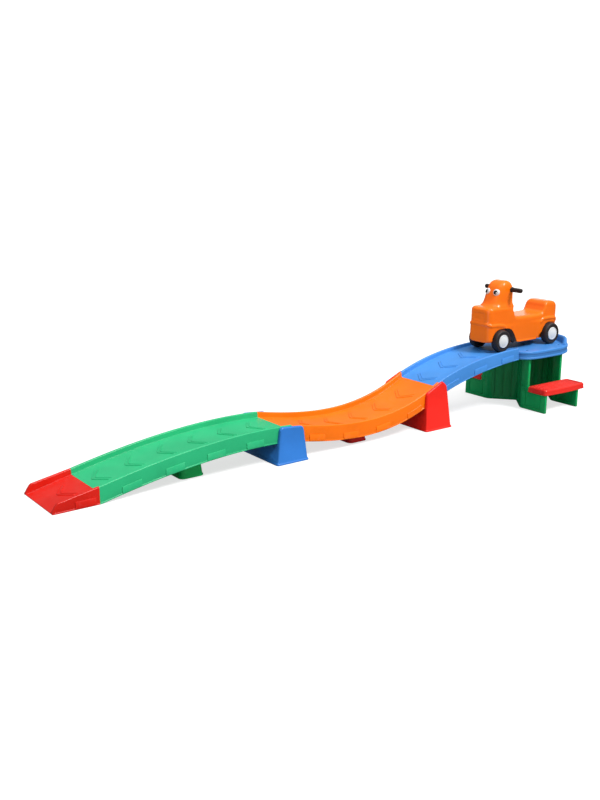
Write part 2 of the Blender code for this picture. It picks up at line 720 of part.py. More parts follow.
def build_trestle(name, finish, sizes):
    """A hollow support under a joint, with a cheek on each side of the track."""
    x_low, x_high = sizes["foot"]
    crown = list(sizes["crown"])
    corners = [(x_low, -sizes["round"]), *crown, (x_high, -sizes["round"])]
    outline = [(x, z) for x, z in rounded(corners, sizes["round"]) if z > 0]
    outline = [(x_low, 0.0), *[p for p in outline if p[1] > 0.02], (x_high, 0.0)]
    trestle = tapered_slab(name, finish, outline, TRESTLE_FOOT_HALF_WIDTH, TRESTLE_TAPER,
                           TRESTLE_EDGE_ROUND)

    lip = bmesh.new()
    lip_rings = []
    for z, out in ((0.0, TRESTLE_LIP), (TRESTLE_LIP_HEIGHT, TRESTLE_LIP),
                   (TRESTLE_LIP_HEIGHT + TRESTLE_LIP, -SINK)):
        across = TRESTLE_FOOT_HALF_WIDTH + out
        plan = [(x_low - out, -across), (x_high + out, -across),
                (x_high + out, across), (x_low - out, across)]
        lip_rings.append([Vector((from_lip(x), y, z))
                          for x, y in rounded(plan, TRESTLE_EDGE_ROUND + out)])
    add_loft(lip, lip_rings)
    boolean(trestle, make_object(name + "_lip", lip), "UNION")

    saddle = bmesh.new()
    width = TRACK_HALF_WIDTH + FIT
    rings = []
    for x, height in faceted(wall_bottom, x_low - 0.02, x_high + 0.02):
        seat = height - FIT
        rings.append([Vector((from_lip(x), y, z)) for y, z in
                      ((-width, seat), (width, seat), (width, seat + 0.3), (-width, seat + 0.3))])
    add_loft(saddle, rings)
    boolean(trestle, make_object(name + "_saddle", saddle))

    hollow = bmesh.new()
    wall = TRESTLE_WALL
    top = min(wall_bottom(x) for x in stations(x_low, x_high)) - 2 * wall
    left, right = crown[0], crown[-1]
    rings = []
    for z in (-SINK, top):
        share = max(z, 0) / left[1]
        x_a = x_low + (left[0] - x_low) * share + wall
        share = max(z, 0) / right[1]
        x_b = x_high + (right[0] - x_high) * share - wall
        y = TRESTLE_FOOT_HALF_WIDTH - TRESTLE_TAPER * max(z, 0) - wall
        rings.append([Vector((from_lip(a), b, z)) for a, b in
                      rounded([(x_a, -y), (x_b, -y), (x_b, y), (x_a, y)], TRESTLE_EDGE_ROUND, 2)])
    add_loft(hollow, rings)
    boolean(trestle, make_object(name + "_hollow", hollow))


def foot_span(sizes):
    """Where a foot starts and ends along the track."""
    return sizes["middle"] - sizes["length"] / 2, sizes["middle"] + sizes["length"] / 2


def foot_ring(sizes, inset, z, top_z):
    """A rounded rectangle of a foot's plan, drawn in with height."""
    x_low, x_high = foot_span(sizes)
    pull = FOOT_LEAN * (min(z, top_z) if z > 0 else 0.0) + inset
    half = sizes["half_width"] - pull
    plan = [(x_low + pull, -half), (x_high - pull, -half), (x_high - pull, half), (x_low + pull, half)]
    return rounded(plan, FOOT_CORNER - inset, 4)


def build_foot(name, finish, sizes):
    """A hollow tapered foot that plugs in under the deck, between two ribs."""
    x_low, x_high = foot_span(sizes)
    top = max(deck_top(x) for x in stations(x_low, x_high)) + 0.01
    form = bmesh.new()
    add_loft(form, [[Vector((from_lip(x), y, z)) for x, y in foot_ring(sizes, 0.0, z, top)]
                    for z in (0.0, top)])
    foot = make_object(name, form, finish)

    cap = bmesh.new()
    rings = []
    reach = TRACK_HALF_WIDTH
    for x, height in faceted(deck_top, x_low - 0.01, x_high + 0.01):
        seat = height - SHEET - FIT
        rings.append([Vector((from_lip(x), y, z)) for y, z in
                      ((-reach, seat), (reach, seat), (reach, seat + 0.1), (-reach, seat + 0.1))])
    add_loft(cap, rings)
    boolean(foot, make_object(name + "_cap", cap))

    hollow = bmesh.new()
    inner_top = min(deck_top(x) for x in stations(x_low, x_high)) - SHEET - 2 * FOOT_WALL
    add_loft(hollow, [[Vector((from_lip(x), y, z)) for x, y in foot_ring(sizes, FOOT_WALL, z, top)]
                      for z in (-SINK, inner_top)])
    boolean(foot, make_object(name + "_hollow", hollow))


def thick_path(points, half_thickness):
    """The closed outline of an open path drawn with a thick pen."""
    left, right = [], []
    count = len(points)
    for i, here in enumerate(points):
        before = Vector(here) - Vector(points[i - 1]) if i else None
        after = Vector(points[i + 1]) - Vector(here) if i < count - 1 else None
        first = (before or after).normalized()
        second = (after or before).normalized()
        normal_a = Vector((-first.y, first.x))
        normal_b = Vector((-second.y, second.x))
        mitre = (normal_a + normal_b).normalized()
        reach = half_thickness / mitre.dot(normal_a)
        left.append(tuple(Vector(here) + mitre * reach))
        right.append(tuple(Vector(here) - mitre * reach))
    return right + left[::-1]


def panel_path(at, half_width):
    """Plan of a support panel: two straight wings and a V fold between them."""
    fold = PANEL_FOLD_HALF_WIDTH
    return [(at, -half_width), (at, -fold), (at + PANEL_FOLD_DEPTH, 0.0), (at, fold), (at, half_width)]


def build_support_panel(name, at):
    """A folded hollow panel with full height in the middle and a low leg at each side."""
    top = PLATFORM_TOP - PLATFORM_WALL - FIT
    leg_top = STEP_TOP - STEP_DECK - FIT
    form = bmesh.new()
    path = [(from_lip(x), y) for x, y in panel_path(at, LEG_HALF_WIDTH)]
    add_prism(form, thick_path(path, PANEL_THICKNESS / 2), 0.0, top)
    panel = make_object(name, form, "dark_green_plastic")

    corners = bmesh.new()
    reach = (from_lip(at - 0.05), from_lip(at + 0.05))
    for side in (-1, 1):
        across = sorted((side * PANEL_HALF_WIDTH, side * (LEG_HALF_WIDTH + 0.01)))
        add_box(corners, reach, across, (leg_top, top + 0.01))
    boolean(panel, make_object(name + "_corners", corners))

    inner = bmesh.new()
    path = [(from_lip(x), y) for x, y in panel_path(at, PANEL_HALF_WIDTH - PANEL_WALL)]
    add_prism(inner, thick_path(path, PANEL_THICKNESS / 2 - PANEL_WALL), -SINK, top - PANEL_SOLID_TOP)
    boolean(panel, make_object(name + "_inner_hollow", inner))

    legs = bmesh.new()
    for side in (-1, 1):
        across = sorted((side * (PANEL_HALF_WIDTH + 0.002), side * (LEG_HALF_WIDTH - PANEL_WALL)))
        half = PANEL_THICKNESS / 2 - PANEL_WALL
        add_box(legs, (from_lip(at - half), from_lip(at + half)), across,
                (-SINK, leg_top - PANEL_WALL))
    boolean(panel, make_object(name + "_leg_hollows", legs))

    recesses = bmesh.new()
    for side in (-1, 1):
        across = sorted((side * (PANEL_HALF_WIDTH + LEG_RECESS_BORDER),
                         side * (LEG_HALF_WIDTH - LEG_RECESS_BORDER)))
        for face in (-1, 1):
            plane = at + face * PANEL_THICKNESS / 2
            through = sorted((from_lip(plane - face * LEG_RECESS), from_lip(plane + face * SINK)))
            add_box(recesses, through, across, (LEG_RECESS_BORDER, leg_top - LEG_RECESS_BORDER))
    boolean(panel, make_object(name + "_recesses", recesses))

    bores = bmesh.new()
    for side in (-1, 1):
        pilot = [(SCREW_SHANK_RADIUS + FIT, -SCREW_LENGTH), (SCREW_SHANK_RADIUS + FIT, SINK)]
        add_upright(bores, pilot, SCREW_SEGMENTS, (from_lip(at), side * SCREW_OFFSET, top))
    boolean(panel, make_object(name + "_screw_bores", bores))


def step_outline(side, inset):
    """Plan of a step tread, with a bulged outer edge and rounded corners."""
    front, rear = STEP_FRONT + inset, STEP_REAR - inset
    inner, outer = STEP_INNER + inset, STEP_OUTER - inset
    radius = max(STEP_CORNER - inset, 0.002)
    points = arc((front + radius, inner + radius), radius, 270, 180, 3)
    points += arc((front + radius, outer - radius), radius, 180, 90, 3)
    count = 8
    for k in range(1, count):
        share = k / count
        x = front + radius + (rear - front - 2 * radius) * share
        points.append((x, outer + STEP_BULGE * math.sin(math.pi * share)))
    points += arc((rear - radius, outer - radius), radius, 90, 0, 3)
    points += arc((rear - radius, inner + radius), radius, 360, 270, 3)
    return [(from_lip(x), side * y) for x, y in points]


def build_step(name, side):
    """A step tread: a hollow cap that sits down over the outer legs of both panels."""
    form = bmesh.new()
    levels = [(STEP_BOTTOM, 0.0), (STEP_BOTTOM + 0.014, 0.0005), (STEP_TOP - STEP_DECK, STEP_DRAFT),
              (STEP_TOP - 0.0015, STEP_DRAFT + 0.003), (STEP_TOP, STEP_DRAFT + 0.008)]
    add_loft(form, [[Vector((x, y, z)) for x, y in step_outline(side, inset)] for z, inset in levels])
    step = make_object(name, form, "red_plastic")
    hollow = bmesh.new()
    rings = [(STEP_BOTTOM - SINK, STEP_WALL), (STEP_BOTTOM + 0.014, STEP_WALL + 0.0005),
             (STEP_TOP - STEP_DECK, STEP_WALL + STEP_DRAFT)]
    add_loft(hollow, [[Vector((x, y, z)) for x, y in step_outline(side, inset)] for z, inset in rings])
    boolean(step, make_object(name + "_hollow", hollow))

    notches = bmesh.new()
    reach = PANEL_THICKNESS / 2 + FIT
    for at in (FRONT_PANEL_AT, REAR_PANEL_AT):
        across = sorted((side * (STEP_INNER - 0.01), side * (STEP_INNER + 0.01)))
        add_box(notches, (from_lip(at - reach), from_lip(at + reach)), across,
                (STEP_BOTTOM - SINK, STEP_TOP - STEP_DECK - FIT / 2))
    boolean(step, make_object(name + "_notches", notches))

    grooves = bmesh.new()
    low = STEP_INNER + STEP_GROOVE_MARGIN
    high = STEP_OUTER - STEP_GROOVE_MARGIN
    along = (from_lip(STEP_FRONT + STEP_GROOVE_MARGIN), from_lip(STEP_REAR - STEP_GROOVE_MARGIN))
    for k in range(STEP_GROOVES):
        middle = side * (low + (high - low) * k / (STEP_GROOVES - 1))
        add_box(grooves, along, (middle - STEP_GROOVE_WIDTH / 2, middle + STEP_GROOVE_WIDTH / 2),
                (STEP_TOP - STEP_GROOVE_DEPTH, STEP_TOP + SINK))
    boolean(step, make_object(name + "_grooves", grooves))


def axle_height():
    return PLATFORM_TOP + FIT + WHEEL_RADIUS


def wheel_places():
    """Name ending, axle place and side of each wheel."""
    return [("front_near", FRONT_AXLE_AT, -1), ("front_far", FRONT_AXLE_AT, 1),
            ("rear_near", REAR_AXLE_AT, -1), ("rear_far", REAR_AXLE_AT, 1)]


def build_wheel(ending, at, side):
    """A wheel, its snap-in hub cap, and the push nut and spacer that keep it on the axle."""
    place = (from_lip(at), 0.0, axle_height())
    edge = WHEEL_EDGE_ROUND
    bore = AXLE_RADIUS + FIT
    face = WHEEL_OUTER - HUB_RECESS
    profile = [(bore, WHEEL_INNER), (BOSS_RADIUS, WHEEL_INNER), (BOSS_RADIUS, WHEEL_INNER + DISH_DEPTH),
               (DISH_RADIUS, WHEEL_INNER + DISH_DEPTH), (DISH_RADIUS + 0.003, WHEEL_INNER),
               (WHEEL_RADIUS - edge, WHEEL_INNER), (WHEEL_RADIUS - 0.3 * edge, WHEEL_INNER + 0.3 * edge),
               (WHEEL_RADIUS, WHEEL_INNER + edge), (WHEEL_RADIUS, WHEEL_OUTER - edge),
               (WHEEL_RADIUS - 0.3 * edge, WHEEL_OUTER - 0.3 * edge), (WHEEL_RADIUS - edge, WHEEL_OUTER),
               (HUB_RADIUS + FIT, WHEEL_OUTER), (HUB_RADIUS + FIT, face),
               (NUT_POCKET_RADIUS, face), (NUT_POCKET_RADIUS, face - NUT_POCKET_DEPTH),
               (bore, face - NUT_POCKET_DEPTH)]
    form = bmesh.new()
    add_turned(form, [(r, side * y) for r, y in profile], WHEEL_SEGMENTS, (0, 0, 0), True)
    make_object("wheel_" + ending, form, "black_plastic", place)

    low = face + FIT
    cap = [(0.004, low), (HUB_RADIUS, low), (HUB_RADIUS, WHEEL_OUTER + 0.001),
           (HUB_RADIUS - 0.0020, WHEEL_OUTER + 0.0028), (HUB_RADIUS - 0.0060, WHEEL_OUTER + 0.0022),
           (0.6 * HUB_RADIUS, WHEEL_OUTER + 0.6 * HUB_DOME), (0.004, WHEEL_OUTER + HUB_DOME)]
    form = bmesh.new()
    add_turned(form, [(r, side * y) for r, y in cap], WHEEL_SEGMENTS, (0, 0, 0), False)
    make_object("hub_cap_" + ending, form, "pale_plastic", place)

    base = face - NUT_POCKET_DEPTH + FIT
    nut = [(AXLE_RADIUS + FIT, base), (NUT_RADIUS, base), (NUT_RADIUS, base + 0.6 * NUT_HEIGHT),
           (NUT_RADIUS - 0.003, base + NUT_HEIGHT), (AXLE_RADIUS + FIT, base + NUT_HEIGHT)]
    form = bmesh.new()
    add_turned(form, [(r, side * y) for r, y in nut], ROD_SEGMENTS, (0, 0, 0), True)
    make_object("push_nut_" + ending, form, "steel", place)

    washer = [(AXLE_RADIUS + FIT, WELL_INNER + FIT), (WASHER_RADIUS, WELL_INNER + FIT),
              (WASHER_RADIUS, WHEEL_INNER - FIT), (AXLE_RADIUS + FIT, WHEEL_INNER - FIT)]
    form = bmesh.new()
    add_turned(form, [(r, side * y) for r, y in washer], ROD_SEGMENTS, (0, 0, 0), True)
    make_object("spacer_" + ending, form, "black_plastic", place)


def build_axle(name, at):
    form = bmesh.new()
    tip = AXLE_RADIUS - 0.001
    length = AXLE_HALF_LENGTH
    add_turned(form, [(tip, -length), (AXLE_RADIUS, 0.001 - length), (AXLE_RADIUS, length - 0.001),
                      (tip, length)], ROD_SEGMENTS, (0, 0, 0), False)
    make_object(name, form, "steel", (from_lip(at), 0.0, axle_height()))


def body_section(x, half_width, fender, bottom, top, crown):
    """A cross-section of the car's body: fender sides below, body sides and rounded top above."""
    foot = min(0.012, half_width * 0.3)
    half = [
        (half_width + fender - foot, bottom),
        (half_width + fender - 0.3 * foot, bottom + 0.3 * foot),
        (half_width + fender, bottom + foot),
        (half_width + fender, FENDER_TOP - 0.004),
        (half_width, FENDER_TOP),
        (half_width, top - crown),
        (half_width - 0.076 * crown, top - 0.617 * crown),
        (half_width - 0.293 * crown, top - 0.293 * crown),
        (half_width - 0.617 * crown, top - 0.076 * crown),
        (half_width - crown, top),
    ]
    other = [(-y, z) for y, z in reversed(half)]
    return [Vector((from_lip(x), y, z)) for y, z in half + other]


def body_shape(inset):
    """Place, half width, top and crown radius of each section of the body, drawn in by inset."""
    front, rear = BODY_FRONT + inset, BODY_REAR - inset
    hood, seat, box = HOOD_TOP - inset, SEAT_TOP - inset, BOX_TOP - inset
    wide = BODY_HALF_WIDTH - inset
    rows = []
    for angle in (0, 25, 50, 72, 90):
        short = 1 - math.sin(math.radians(angle))
        rows.append((front + FRONT_CORNER * (1 - math.cos(math.radians(angle))),
                     wide - FRONT_CORNER * short, hood - 0.012 * short, CROWN))
    rows += [(2.660, wide, hood, CROWN), (HOOD_END - 0.010 - inset, wide, hood, CROWN),
             (HOOD_END - inset, wide, hood - 0.004, 0.013),
             (HOOD_END + 0.012 - inset, wide, seat + 0.024, 0.011),
             (SEAT_START - inset, wide, seat + 0.001, 0.010),
             (SEAT_START + 0.030, wide, seat, 0.010), (SEAT_MIDDLE, wide, seat, 0.010),
             (SEAT_END - 0.040, wide, seat, 0.010), (SEAT_END + inset, wide, seat + 0.003, 0.010),
             (SEAT_END + 0.012 + inset, wide, seat + 0.030, 0.012),
             (BOX_START - 0.008 + inset, wide - 0.002, box - 0.008, CROWN),
             (BOX_START + 0.006 + inset, wide - 0.004, box, CROWN)]
    for back, draw, drop, crown in REAR_CORNER:
        rows.append((rear - back, wide - draw, box - drop, crown))
    return rows


def fender_at(x):
    """How far the fenders stand out from the body's side at x."""
    past_front = (x - FRONT_AXLE_AT - 0.060) / 0.050
    past_rear = (REAR_AXLE_AT - 0.070 - x) / 0.045
    share = max(0.0, min(1.0, past_front, past_rear))
    return FENDER_PROUD + (0.0005 - FENDER_PROUD) * share * share * (3 - 2 * share)


def well_outline(at, front_reach, rear_reach, rear_open):
    """The side view of a wheel's arch: round over the wheel, with straight flared ends."""
    radius = WHEEL_RADIUS + WELL_CLEARANCE
    height = axle_height()
    low = BODY_BOTTOM - 0.02
    points = [(at - front_reach, low), (at - front_reach, BODY_BOTTOM)]
    points += arc((at, height), radius, 165, 90, 5)
    if rear_open:
        points += [(at + 0.45 * radius, height + 0.955 * radius), (at + rear_reach, height + 0.82 * radius),
                   (at + rear_reach, low)]
    else:
        points += [(at + 0.88 * radius, height + 0.97 * radius),
                   (at + 0.57 * rear_reach, height + 0.79 * radius),
                   (at + rear_reach, BODY_BOTTOM), (at + rear_reach, low)]
    return points


def build_car_body():
    """The hollow moulded shell: hood, saddle, rear box and head block, open underneath."""
    form = bmesh.new()
    add_loft(form, [body_section(x, wide, fender_at(x), BODY_BOTTOM + lift_at(x), top, crown)
                    for x, wide, top, crown in body_shape(0.0)])
    body = make_object("car_body", form, "orange_plastic")

    head = bmesh.new()
    add_loft(head, head_rings(0.0))
    boolean(body, make_object("car_head", head), "UNION")

    beads = bmesh.new()
    add_bead(beads, front_bead_path())
    add_bead(beads, rear_bead_path())
    boolean(body, make_object("car_beads", beads), "UNION")

    wells = bmesh.new()
    for at, reach, rear_open in ((FRONT_AXLE_AT, FRONT_WELL_REACH, False),
                                 (REAR_AXLE_AT, REAR_WELL_REACH, True)):
        outline = [(from_lip(x), z) for x, z in well_outline(at, *reach, rear_open)]
        for side in (-1, 1):
            add_loft(wells, [[Vector((x, side * y, z)) for x, z in outline]
                             for y in (WELL_INNER, BODY_HALF_WIDTH + 0.03)])
    boolean(body, make_object("car_wheel_wells", wells))

    hollow = bmesh.new()
    rings = []
    low = BODY_BOTTOM - 0.01
    for x, wide, top, _ in body_shape(BODY_WALL):
        y = min(wide, WELL_INNER - BODY_WALL) if in_well(x) else wide
        high = top - SINK
        rings.append([Vector((from_lip(x), a, z)) for a, z in
                      ((y, low), (y, high - 0.012), (y - 0.010, high),
                       (-y + 0.010, high), (-y, high - 0.012), (-y, low))])
    add_loft(hollow, rings)
    boolean(body, make_object("car_hollow", hollow))
    inside = bmesh.new()
    add_loft(inside, head_rings(HEAD_WALL))
    boolean(body, make_object("car_head_hollow", inside))

    bores = bmesh.new()
    for at in (FRONT_AXLE_AT, REAR_AXLE_AT):
        add_turned(bores, [(AXLE_RADIUS + FIT, -0.1), (AXLE_RADIUS + FIT, 0.1)], ROD_SEGMENTS,
                   (from_lip(at), 0.0, axle_height()), False)
    add_turned(bores, [(BAR_RADIUS + FIT, -0.1), (BAR_RADIUS + FIT, 0.1)], ROD_SEGMENTS,
               (from_lip(BAR_AT), 0.0, BAR_HEIGHT), False)
    boolean(body, make_object("car_bores", bores))

    pockets = bmesh.new()
    for side in (-1, 1):
        add_eye_disc(pockets, side, [(EYE_RADIUS + FIT, 0.0), (EYE_RADIUS + FIT, 0.02)], 20)
    boolean(body, make_object("car_eye_pockets", pockets))


def lift_at(x):
    """How far the body's lower edge rises towards its front and rear ends."""
    if x < FRONT_AXLE_AT:
        return 0.018
    if x > REAR_AXLE_AT - 0.02:
        return 0.020
    return 0.0


def in_well(x):
    return x < FRONT_AXLE_AT + 0.150 or x > REAR_AXLE_AT - 0.110


def head_rings(inset):
    """Plan sections of the head block, from inside the hood up to its rounded top."""
    levels = [  # height, front, half width
        (HOOD_TOP - 0.030, HEAD_FRONT - 0.010, HEAD_HALF_WIDTH + 0.002),
        (HOOD_TOP + 0.004, HEAD_FRONT - 0.006, HEAD_HALF_WIDTH + 0.002),
        (HOOD_TOP + 0.022, HEAD_FRONT + 0.004, HEAD_HALF_WIDTH),
    ]
    levels += [(HOOD_TOP + share * HEAD_HEIGHT, HEAD_FRONT + back, half_width)
               for share, back, half_width in HEAD_LEVELS]
    rings = []
    lean_from = HOOD_TOP + HEAD_LEAN_FROM * HEAD_HEIGHT
    for z, front, half_width in levels:
        rear = HEAD_REAR - max(0.0, z - lean_from) * HEAD_LEAN
        if z >= HEAD_TOP:
            rear -= 0.012
        height = z
        if inset and z > HOOD_TOP + 0.01:
            height = z - inset
        if inset and z < HOOD_TOP:
            height = z + 0.5 * inset
        a, b, w = front + inset, rear - inset, half_width - inset
        turn = min(w, (b - a) * 0.55)
        plan = []
        for k in range(-6, 7):
            angle = math.radians(15 * k)
            across = abs(math.sin(angle))**(2 / HEAD_POWER)
            plan.append((a + turn - turn * abs(math.cos(angle))**(2 / HEAD_POWER),
                         math.copysign(w * across, angle)))
        corner = 0.010
        plan += [(b - corner, w), (b - 0.3 * corner, w - 0.3 * corner), (b, w - corner),
                 (b, -w + corner), (b - 0.3 * corner, -w + 0.3 * corner), (b - corner, -w)]
        rings.append([Vector((from_lip(x), y, height)) for x, y in plan])
    return rings


def add_bead(form, path):
    """A round bead along a path, with flat ends."""
    rings = []
    for i, here in enumerate(path):
        before = path[max(i - 1, 0)]
        after = path[min(i + 1, len(path) - 1)]
        along = (after - before).normalized()
        side = along.cross(Vector((0, 0, 1))).normalized()
        rise = side.cross(along)
        rings.append([here + BEAD_RADIUS * (math.cos(math.tau * k / 8) * side * 0.8
                                            + math.sin(math.tau * k / 8) * rise)
                      for k in range(8)])
    add_loft(form, rings)


def front_bead_path():
    """The bumper bead: round the front and back along both front fenders."""
    wide = BODY_HALF_WIDTH + 0.5 * FENDER_PROUD
    turn = 0.026
    front = BODY_FRONT + 0.001
    half = [(FRONT_AXLE_AT + 0.052, wide, FRONT_BEAD_HEIGHTS[1] - 0.006),
            (FRONT_AXLE_AT + 0.036, wide, FRONT_BEAD_HEIGHTS[1]),
            (FRONT_AXLE_AT - 0.020, wide, FRONT_BEAD_HEIGHTS[1] + 0.006)]
    for angle in (90, 60, 30, 0):
        bend = math.radians(angle)
        half.append((front + turn * (1 - math.cos(bend)), wide - turn * (1 - math.sin(bend)),
                     FRONT_BEAD_HEIGHTS[0] - 0.008 * angle / 90))
    points = half + [(x, -y, z) for x, y, z in reversed(half)]
    return [Vector((from_lip(x), y, z)) for x, y, z in points]


def rear_bead_path():
    """The bead over the rear fenders and across the back."""
    wide = BODY_HALF_WIDTH + 0.4 * FENDER_PROUD
    half = [(REAR_AXLE_AT - 0.070, wide, REAR_BEAD_HEIGHT - 0.012),
            (REAR_AXLE_AT - 0.056, wide, REAR_BEAD_HEIGHT - 0.002),
            (REAR_AXLE_AT - 0.040, wide, REAR_BEAD_HEIGHT),
            (REAR_AXLE_AT + 0.024, wide - 0.004, REAR_BEAD_HEIGHT - 0.001)]
    for angle, height in ((80, -0.003), (50, -0.006), (15, -0.008)):
        bend = math.radians(angle)
        half.append((BODY_REAR - 0.020 * (1 - math.cos(bend)) - 0.002,
                     wide - 0.004 - 0.024 * (1 - math.sin(bend)), REAR_BEAD_HEIGHT + height))
    points = half + [(x, -y, z) for x, y, z in reversed(half)]
    return [Vector((from_lip(x), y, z)) for x, y, z in points]


def eye_frame(side):
    """Centre of an eye's seat, and the directions out of it, across it and up it."""
    out = Vector((-math.cos(EYE_TURN), side * math.sin(EYE_TURN), EYE_TILT)).normalized()
    across = out.cross(Vector((0, 0, 1))).normalized()
    rise = across.cross(out)
    return Vector((from_lip(EYE_SEAT[0]), side * EYE_SEAT[1], EYE_HEIGHT)), out, across, rise


def add_eye_disc(form, side, profile, segments, shift=(0.0, 0.0)):
    """Turn a profile of (radius, height) points about an eye's own axis."""
    seat, out, across, rise = eye_frame(side)
    seat = seat + across * shift[0] * side + rise * shift[1]
    rings = []
    for radius, height in profile:
        rings.append([seat + out * height + radius * (math.cos(math.tau * k / segments) * across
                                                      + math.sin(math.tau * k / segments) * rise)
                      for k in range(segments)])
    add_loft(form, rings)


def build_eyes():
    """Two plain pale domes in pockets in the head's front, each with a plain dark disc on it."""
    for ending, side in (("near", -1), ("far", 1)):
        form = bmesh.new()
        thick = EYE_THICKNESS
        add_eye_disc(form, side, [(EYE_RADIUS, FIT), (EYE_RADIUS, 0.5 * thick),
                                  (0.95 * EYE_RADIUS, 0.70 * thick), (0.80 * EYE_RADIUS, 0.88 * thick),
                                  (EYE_FLAT_RADIUS, thick)], 20)
        make_object("eye_" + ending, form, "pale_plastic")
        form = bmesh.new()
        low = thick + FIT
        add_eye_disc(form, side, [(PUPIL_RADIUS, low), (PUPIL_RADIUS, low + 0.6 * PUPIL_THICKNESS),
                                  (PUPIL_RADIUS - 0.002, low + PUPIL_THICKNESS)], 16, (0.0015, -0.001))
        make_object("pupil_" + ending, form, "black_plastic")


def build_handlebar():
    place = (from_lip(BAR_AT), 0.0, BAR_HEIGHT)
    form = bmesh.new()
    tip = BAR_RADIUS - 0.001
    add_turned(form, [(tip, -BAR_HALF_LENGTH), (BAR_RADIUS, 0.001 - BAR_HALF_LENGTH),
                      (BAR_RADIUS, BAR_HALF_LENGTH - 0.001), (tip, BAR_HALF_LENGTH)],
               ROD_SEGMENTS, (0, 0, 0), False)
    make_object("handlebar", form, "steel", place)
    start = HEAD_HALF_WIDTH + 0.0015
    bore = BAR_RADIUS + FIT
    for ending, side in (("near", -1), ("far", 1)):
        profile = [(bore, start), (GRIP_RADIUS + 0.0012, start), (GRIP_RADIUS + 0.0012, start + 0.004),
                   (GRIP_RADIUS, start + 0.006), (GRIP_RADIUS, GRIP_END - 0.006),
                   (0.8 * GRIP_RADIUS, GRIP_END - 0.002), (0.45 * GRIP_RADIUS, GRIP_END),
                   (0.30 * GRIP_RADIUS, GRIP_END), (0.30 * GRIP_RADIUS, BAR_HALF_LENGTH + FIT),
                   (bore, BAR_HALF_LENGTH + FIT)]
        form = bmesh.new()
        add_turned(form, [(r, side * y) for r, y in profile], ROD_SEGMENTS, (0, 0, 0), True)
        make_object("grip_" + ending, form, "grip_plastic", place)


def build_track():
    track_section("ramp_end", "red_plastic", 0.0, RAMP_END, RAMP_PAD_START, RAMP_ARROWS)
    track_section("low_hill_track", "green_plastic", RAMP_END, LOW_HILL_END, LOW_HILL_PAD_START,
                  LOW_HILL_ARROWS, (foot_span(LOW_HILL_FOOT),))
    track_section("valley_track", "orange_plastic", LOW_HILL_END, VALLEY_END, VALLEY_PAD_START,
                  VALLEY_ARROWS, (foot_span(VALLEY_FOOT),))
    track_section("high_hill_track", "blue_plastic", VALLEY_END, HIGH_HILL_END, HIGH_HILL_PAD_START,
                  HIGH_HILL_ARROWS)
    build_platform()


def build_supports():
    build_trestle("low_trestle", "trestle_blue_plastic", LOW_TRESTLE)
    build_trestle("high_trestle", "red_plastic", HIGH_TRESTLE)
    build_foot("low_hill_foot", "green_plastic", LOW_HILL_FOOT)
    build_foot("valley_foot", "red_plastic", VALLEY_FOOT)
    build_support_panel("front_support_panel", FRONT_PANEL_AT)
    build_support_panel("rear_support_panel", REAR_PANEL_AT)
    build_platform_screws()
    build_step("near_step", -1)
    build_step("far_step", 1)


def build_car():
    build_car_body()
    build_axle("front_axle", FRONT_AXLE_AT)
    build_axle("rear_axle", REAR_AXLE_AT)
    for ending, at, side in wheel_places():
        build_wheel(ending, at, side)
    build_handlebar()
    build_eyes()


clear_scene()
build_track()
build_supports()
build_car()
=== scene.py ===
"""The look of a toddler's ride-on roller coaster: hilly channel track, supports, and its car.

Lengths are in metres and +Z is up. Places along the track are distances from the lip of the
ramp, as in the part's source, and from_lip() turns them into the frame's X. Nearly every shape is
a loft: a row of rings of points, skinned into a closed form.
"""

import math

import bmesh
import bpy
from mathutils import Matrix, Vector


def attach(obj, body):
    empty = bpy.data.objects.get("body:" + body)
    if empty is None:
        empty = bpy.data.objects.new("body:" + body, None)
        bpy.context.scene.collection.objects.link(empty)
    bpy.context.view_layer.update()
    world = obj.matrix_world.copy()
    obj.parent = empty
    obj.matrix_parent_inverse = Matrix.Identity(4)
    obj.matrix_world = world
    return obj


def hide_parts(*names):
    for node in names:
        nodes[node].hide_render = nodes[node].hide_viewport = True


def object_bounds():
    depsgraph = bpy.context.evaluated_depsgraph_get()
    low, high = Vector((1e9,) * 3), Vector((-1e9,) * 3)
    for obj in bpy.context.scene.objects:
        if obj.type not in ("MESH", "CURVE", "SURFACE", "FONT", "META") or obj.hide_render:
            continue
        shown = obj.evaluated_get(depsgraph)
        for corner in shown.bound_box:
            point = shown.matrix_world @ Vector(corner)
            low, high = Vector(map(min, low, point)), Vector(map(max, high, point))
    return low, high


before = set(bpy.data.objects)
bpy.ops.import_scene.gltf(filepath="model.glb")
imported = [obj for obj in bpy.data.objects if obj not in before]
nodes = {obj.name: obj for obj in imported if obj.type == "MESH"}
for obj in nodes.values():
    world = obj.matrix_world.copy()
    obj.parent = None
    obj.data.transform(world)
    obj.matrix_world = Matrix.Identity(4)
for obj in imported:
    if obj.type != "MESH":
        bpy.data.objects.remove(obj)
cad_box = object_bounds()

TRACK = "track_set"
CAR = "car"
SIDES = (("near", -1), ("far", 1))

# Track: distance from the lip and height of the wall tops at the joints between its sections
RAMP_JOINT, LOW_JOINT = (0.209, 0.0767), (1.187, 0.1743)
HIGH_JOINT, TOP_JOINT = (2.126, 0.2445), (2.730, 0.350)
RAMP_END, LOW_HILL_END, VALLEY_END, HIGH_HILL_END = (
    joint[0] for joint in (RAMP_JOINT, LOW_JOINT, HIGH_JOINT, TOP_JOINT))
TRACK_LENGTH = 3.200
RAMP_WALL_START = (0.034, 0.0455)
LOW_HILL_SLOPES, VALLEY_SLOPES, HIGH_HILL_SLOPES = (0.225, -0.0545), (-0.20, 0.55), (0.40, 0.02)
HIGH_HILL_LOWER_SLOPES, HIGH_HILL_LOWER_END = (0.37, 0.06), 0.2859
DECK_LEVEL_FROM = 2.670
DECK_CREST_SLOPES = (0.38, 0.0)
PLATFORM_TOP = 0.330
SEAM_GAP = 0.0006

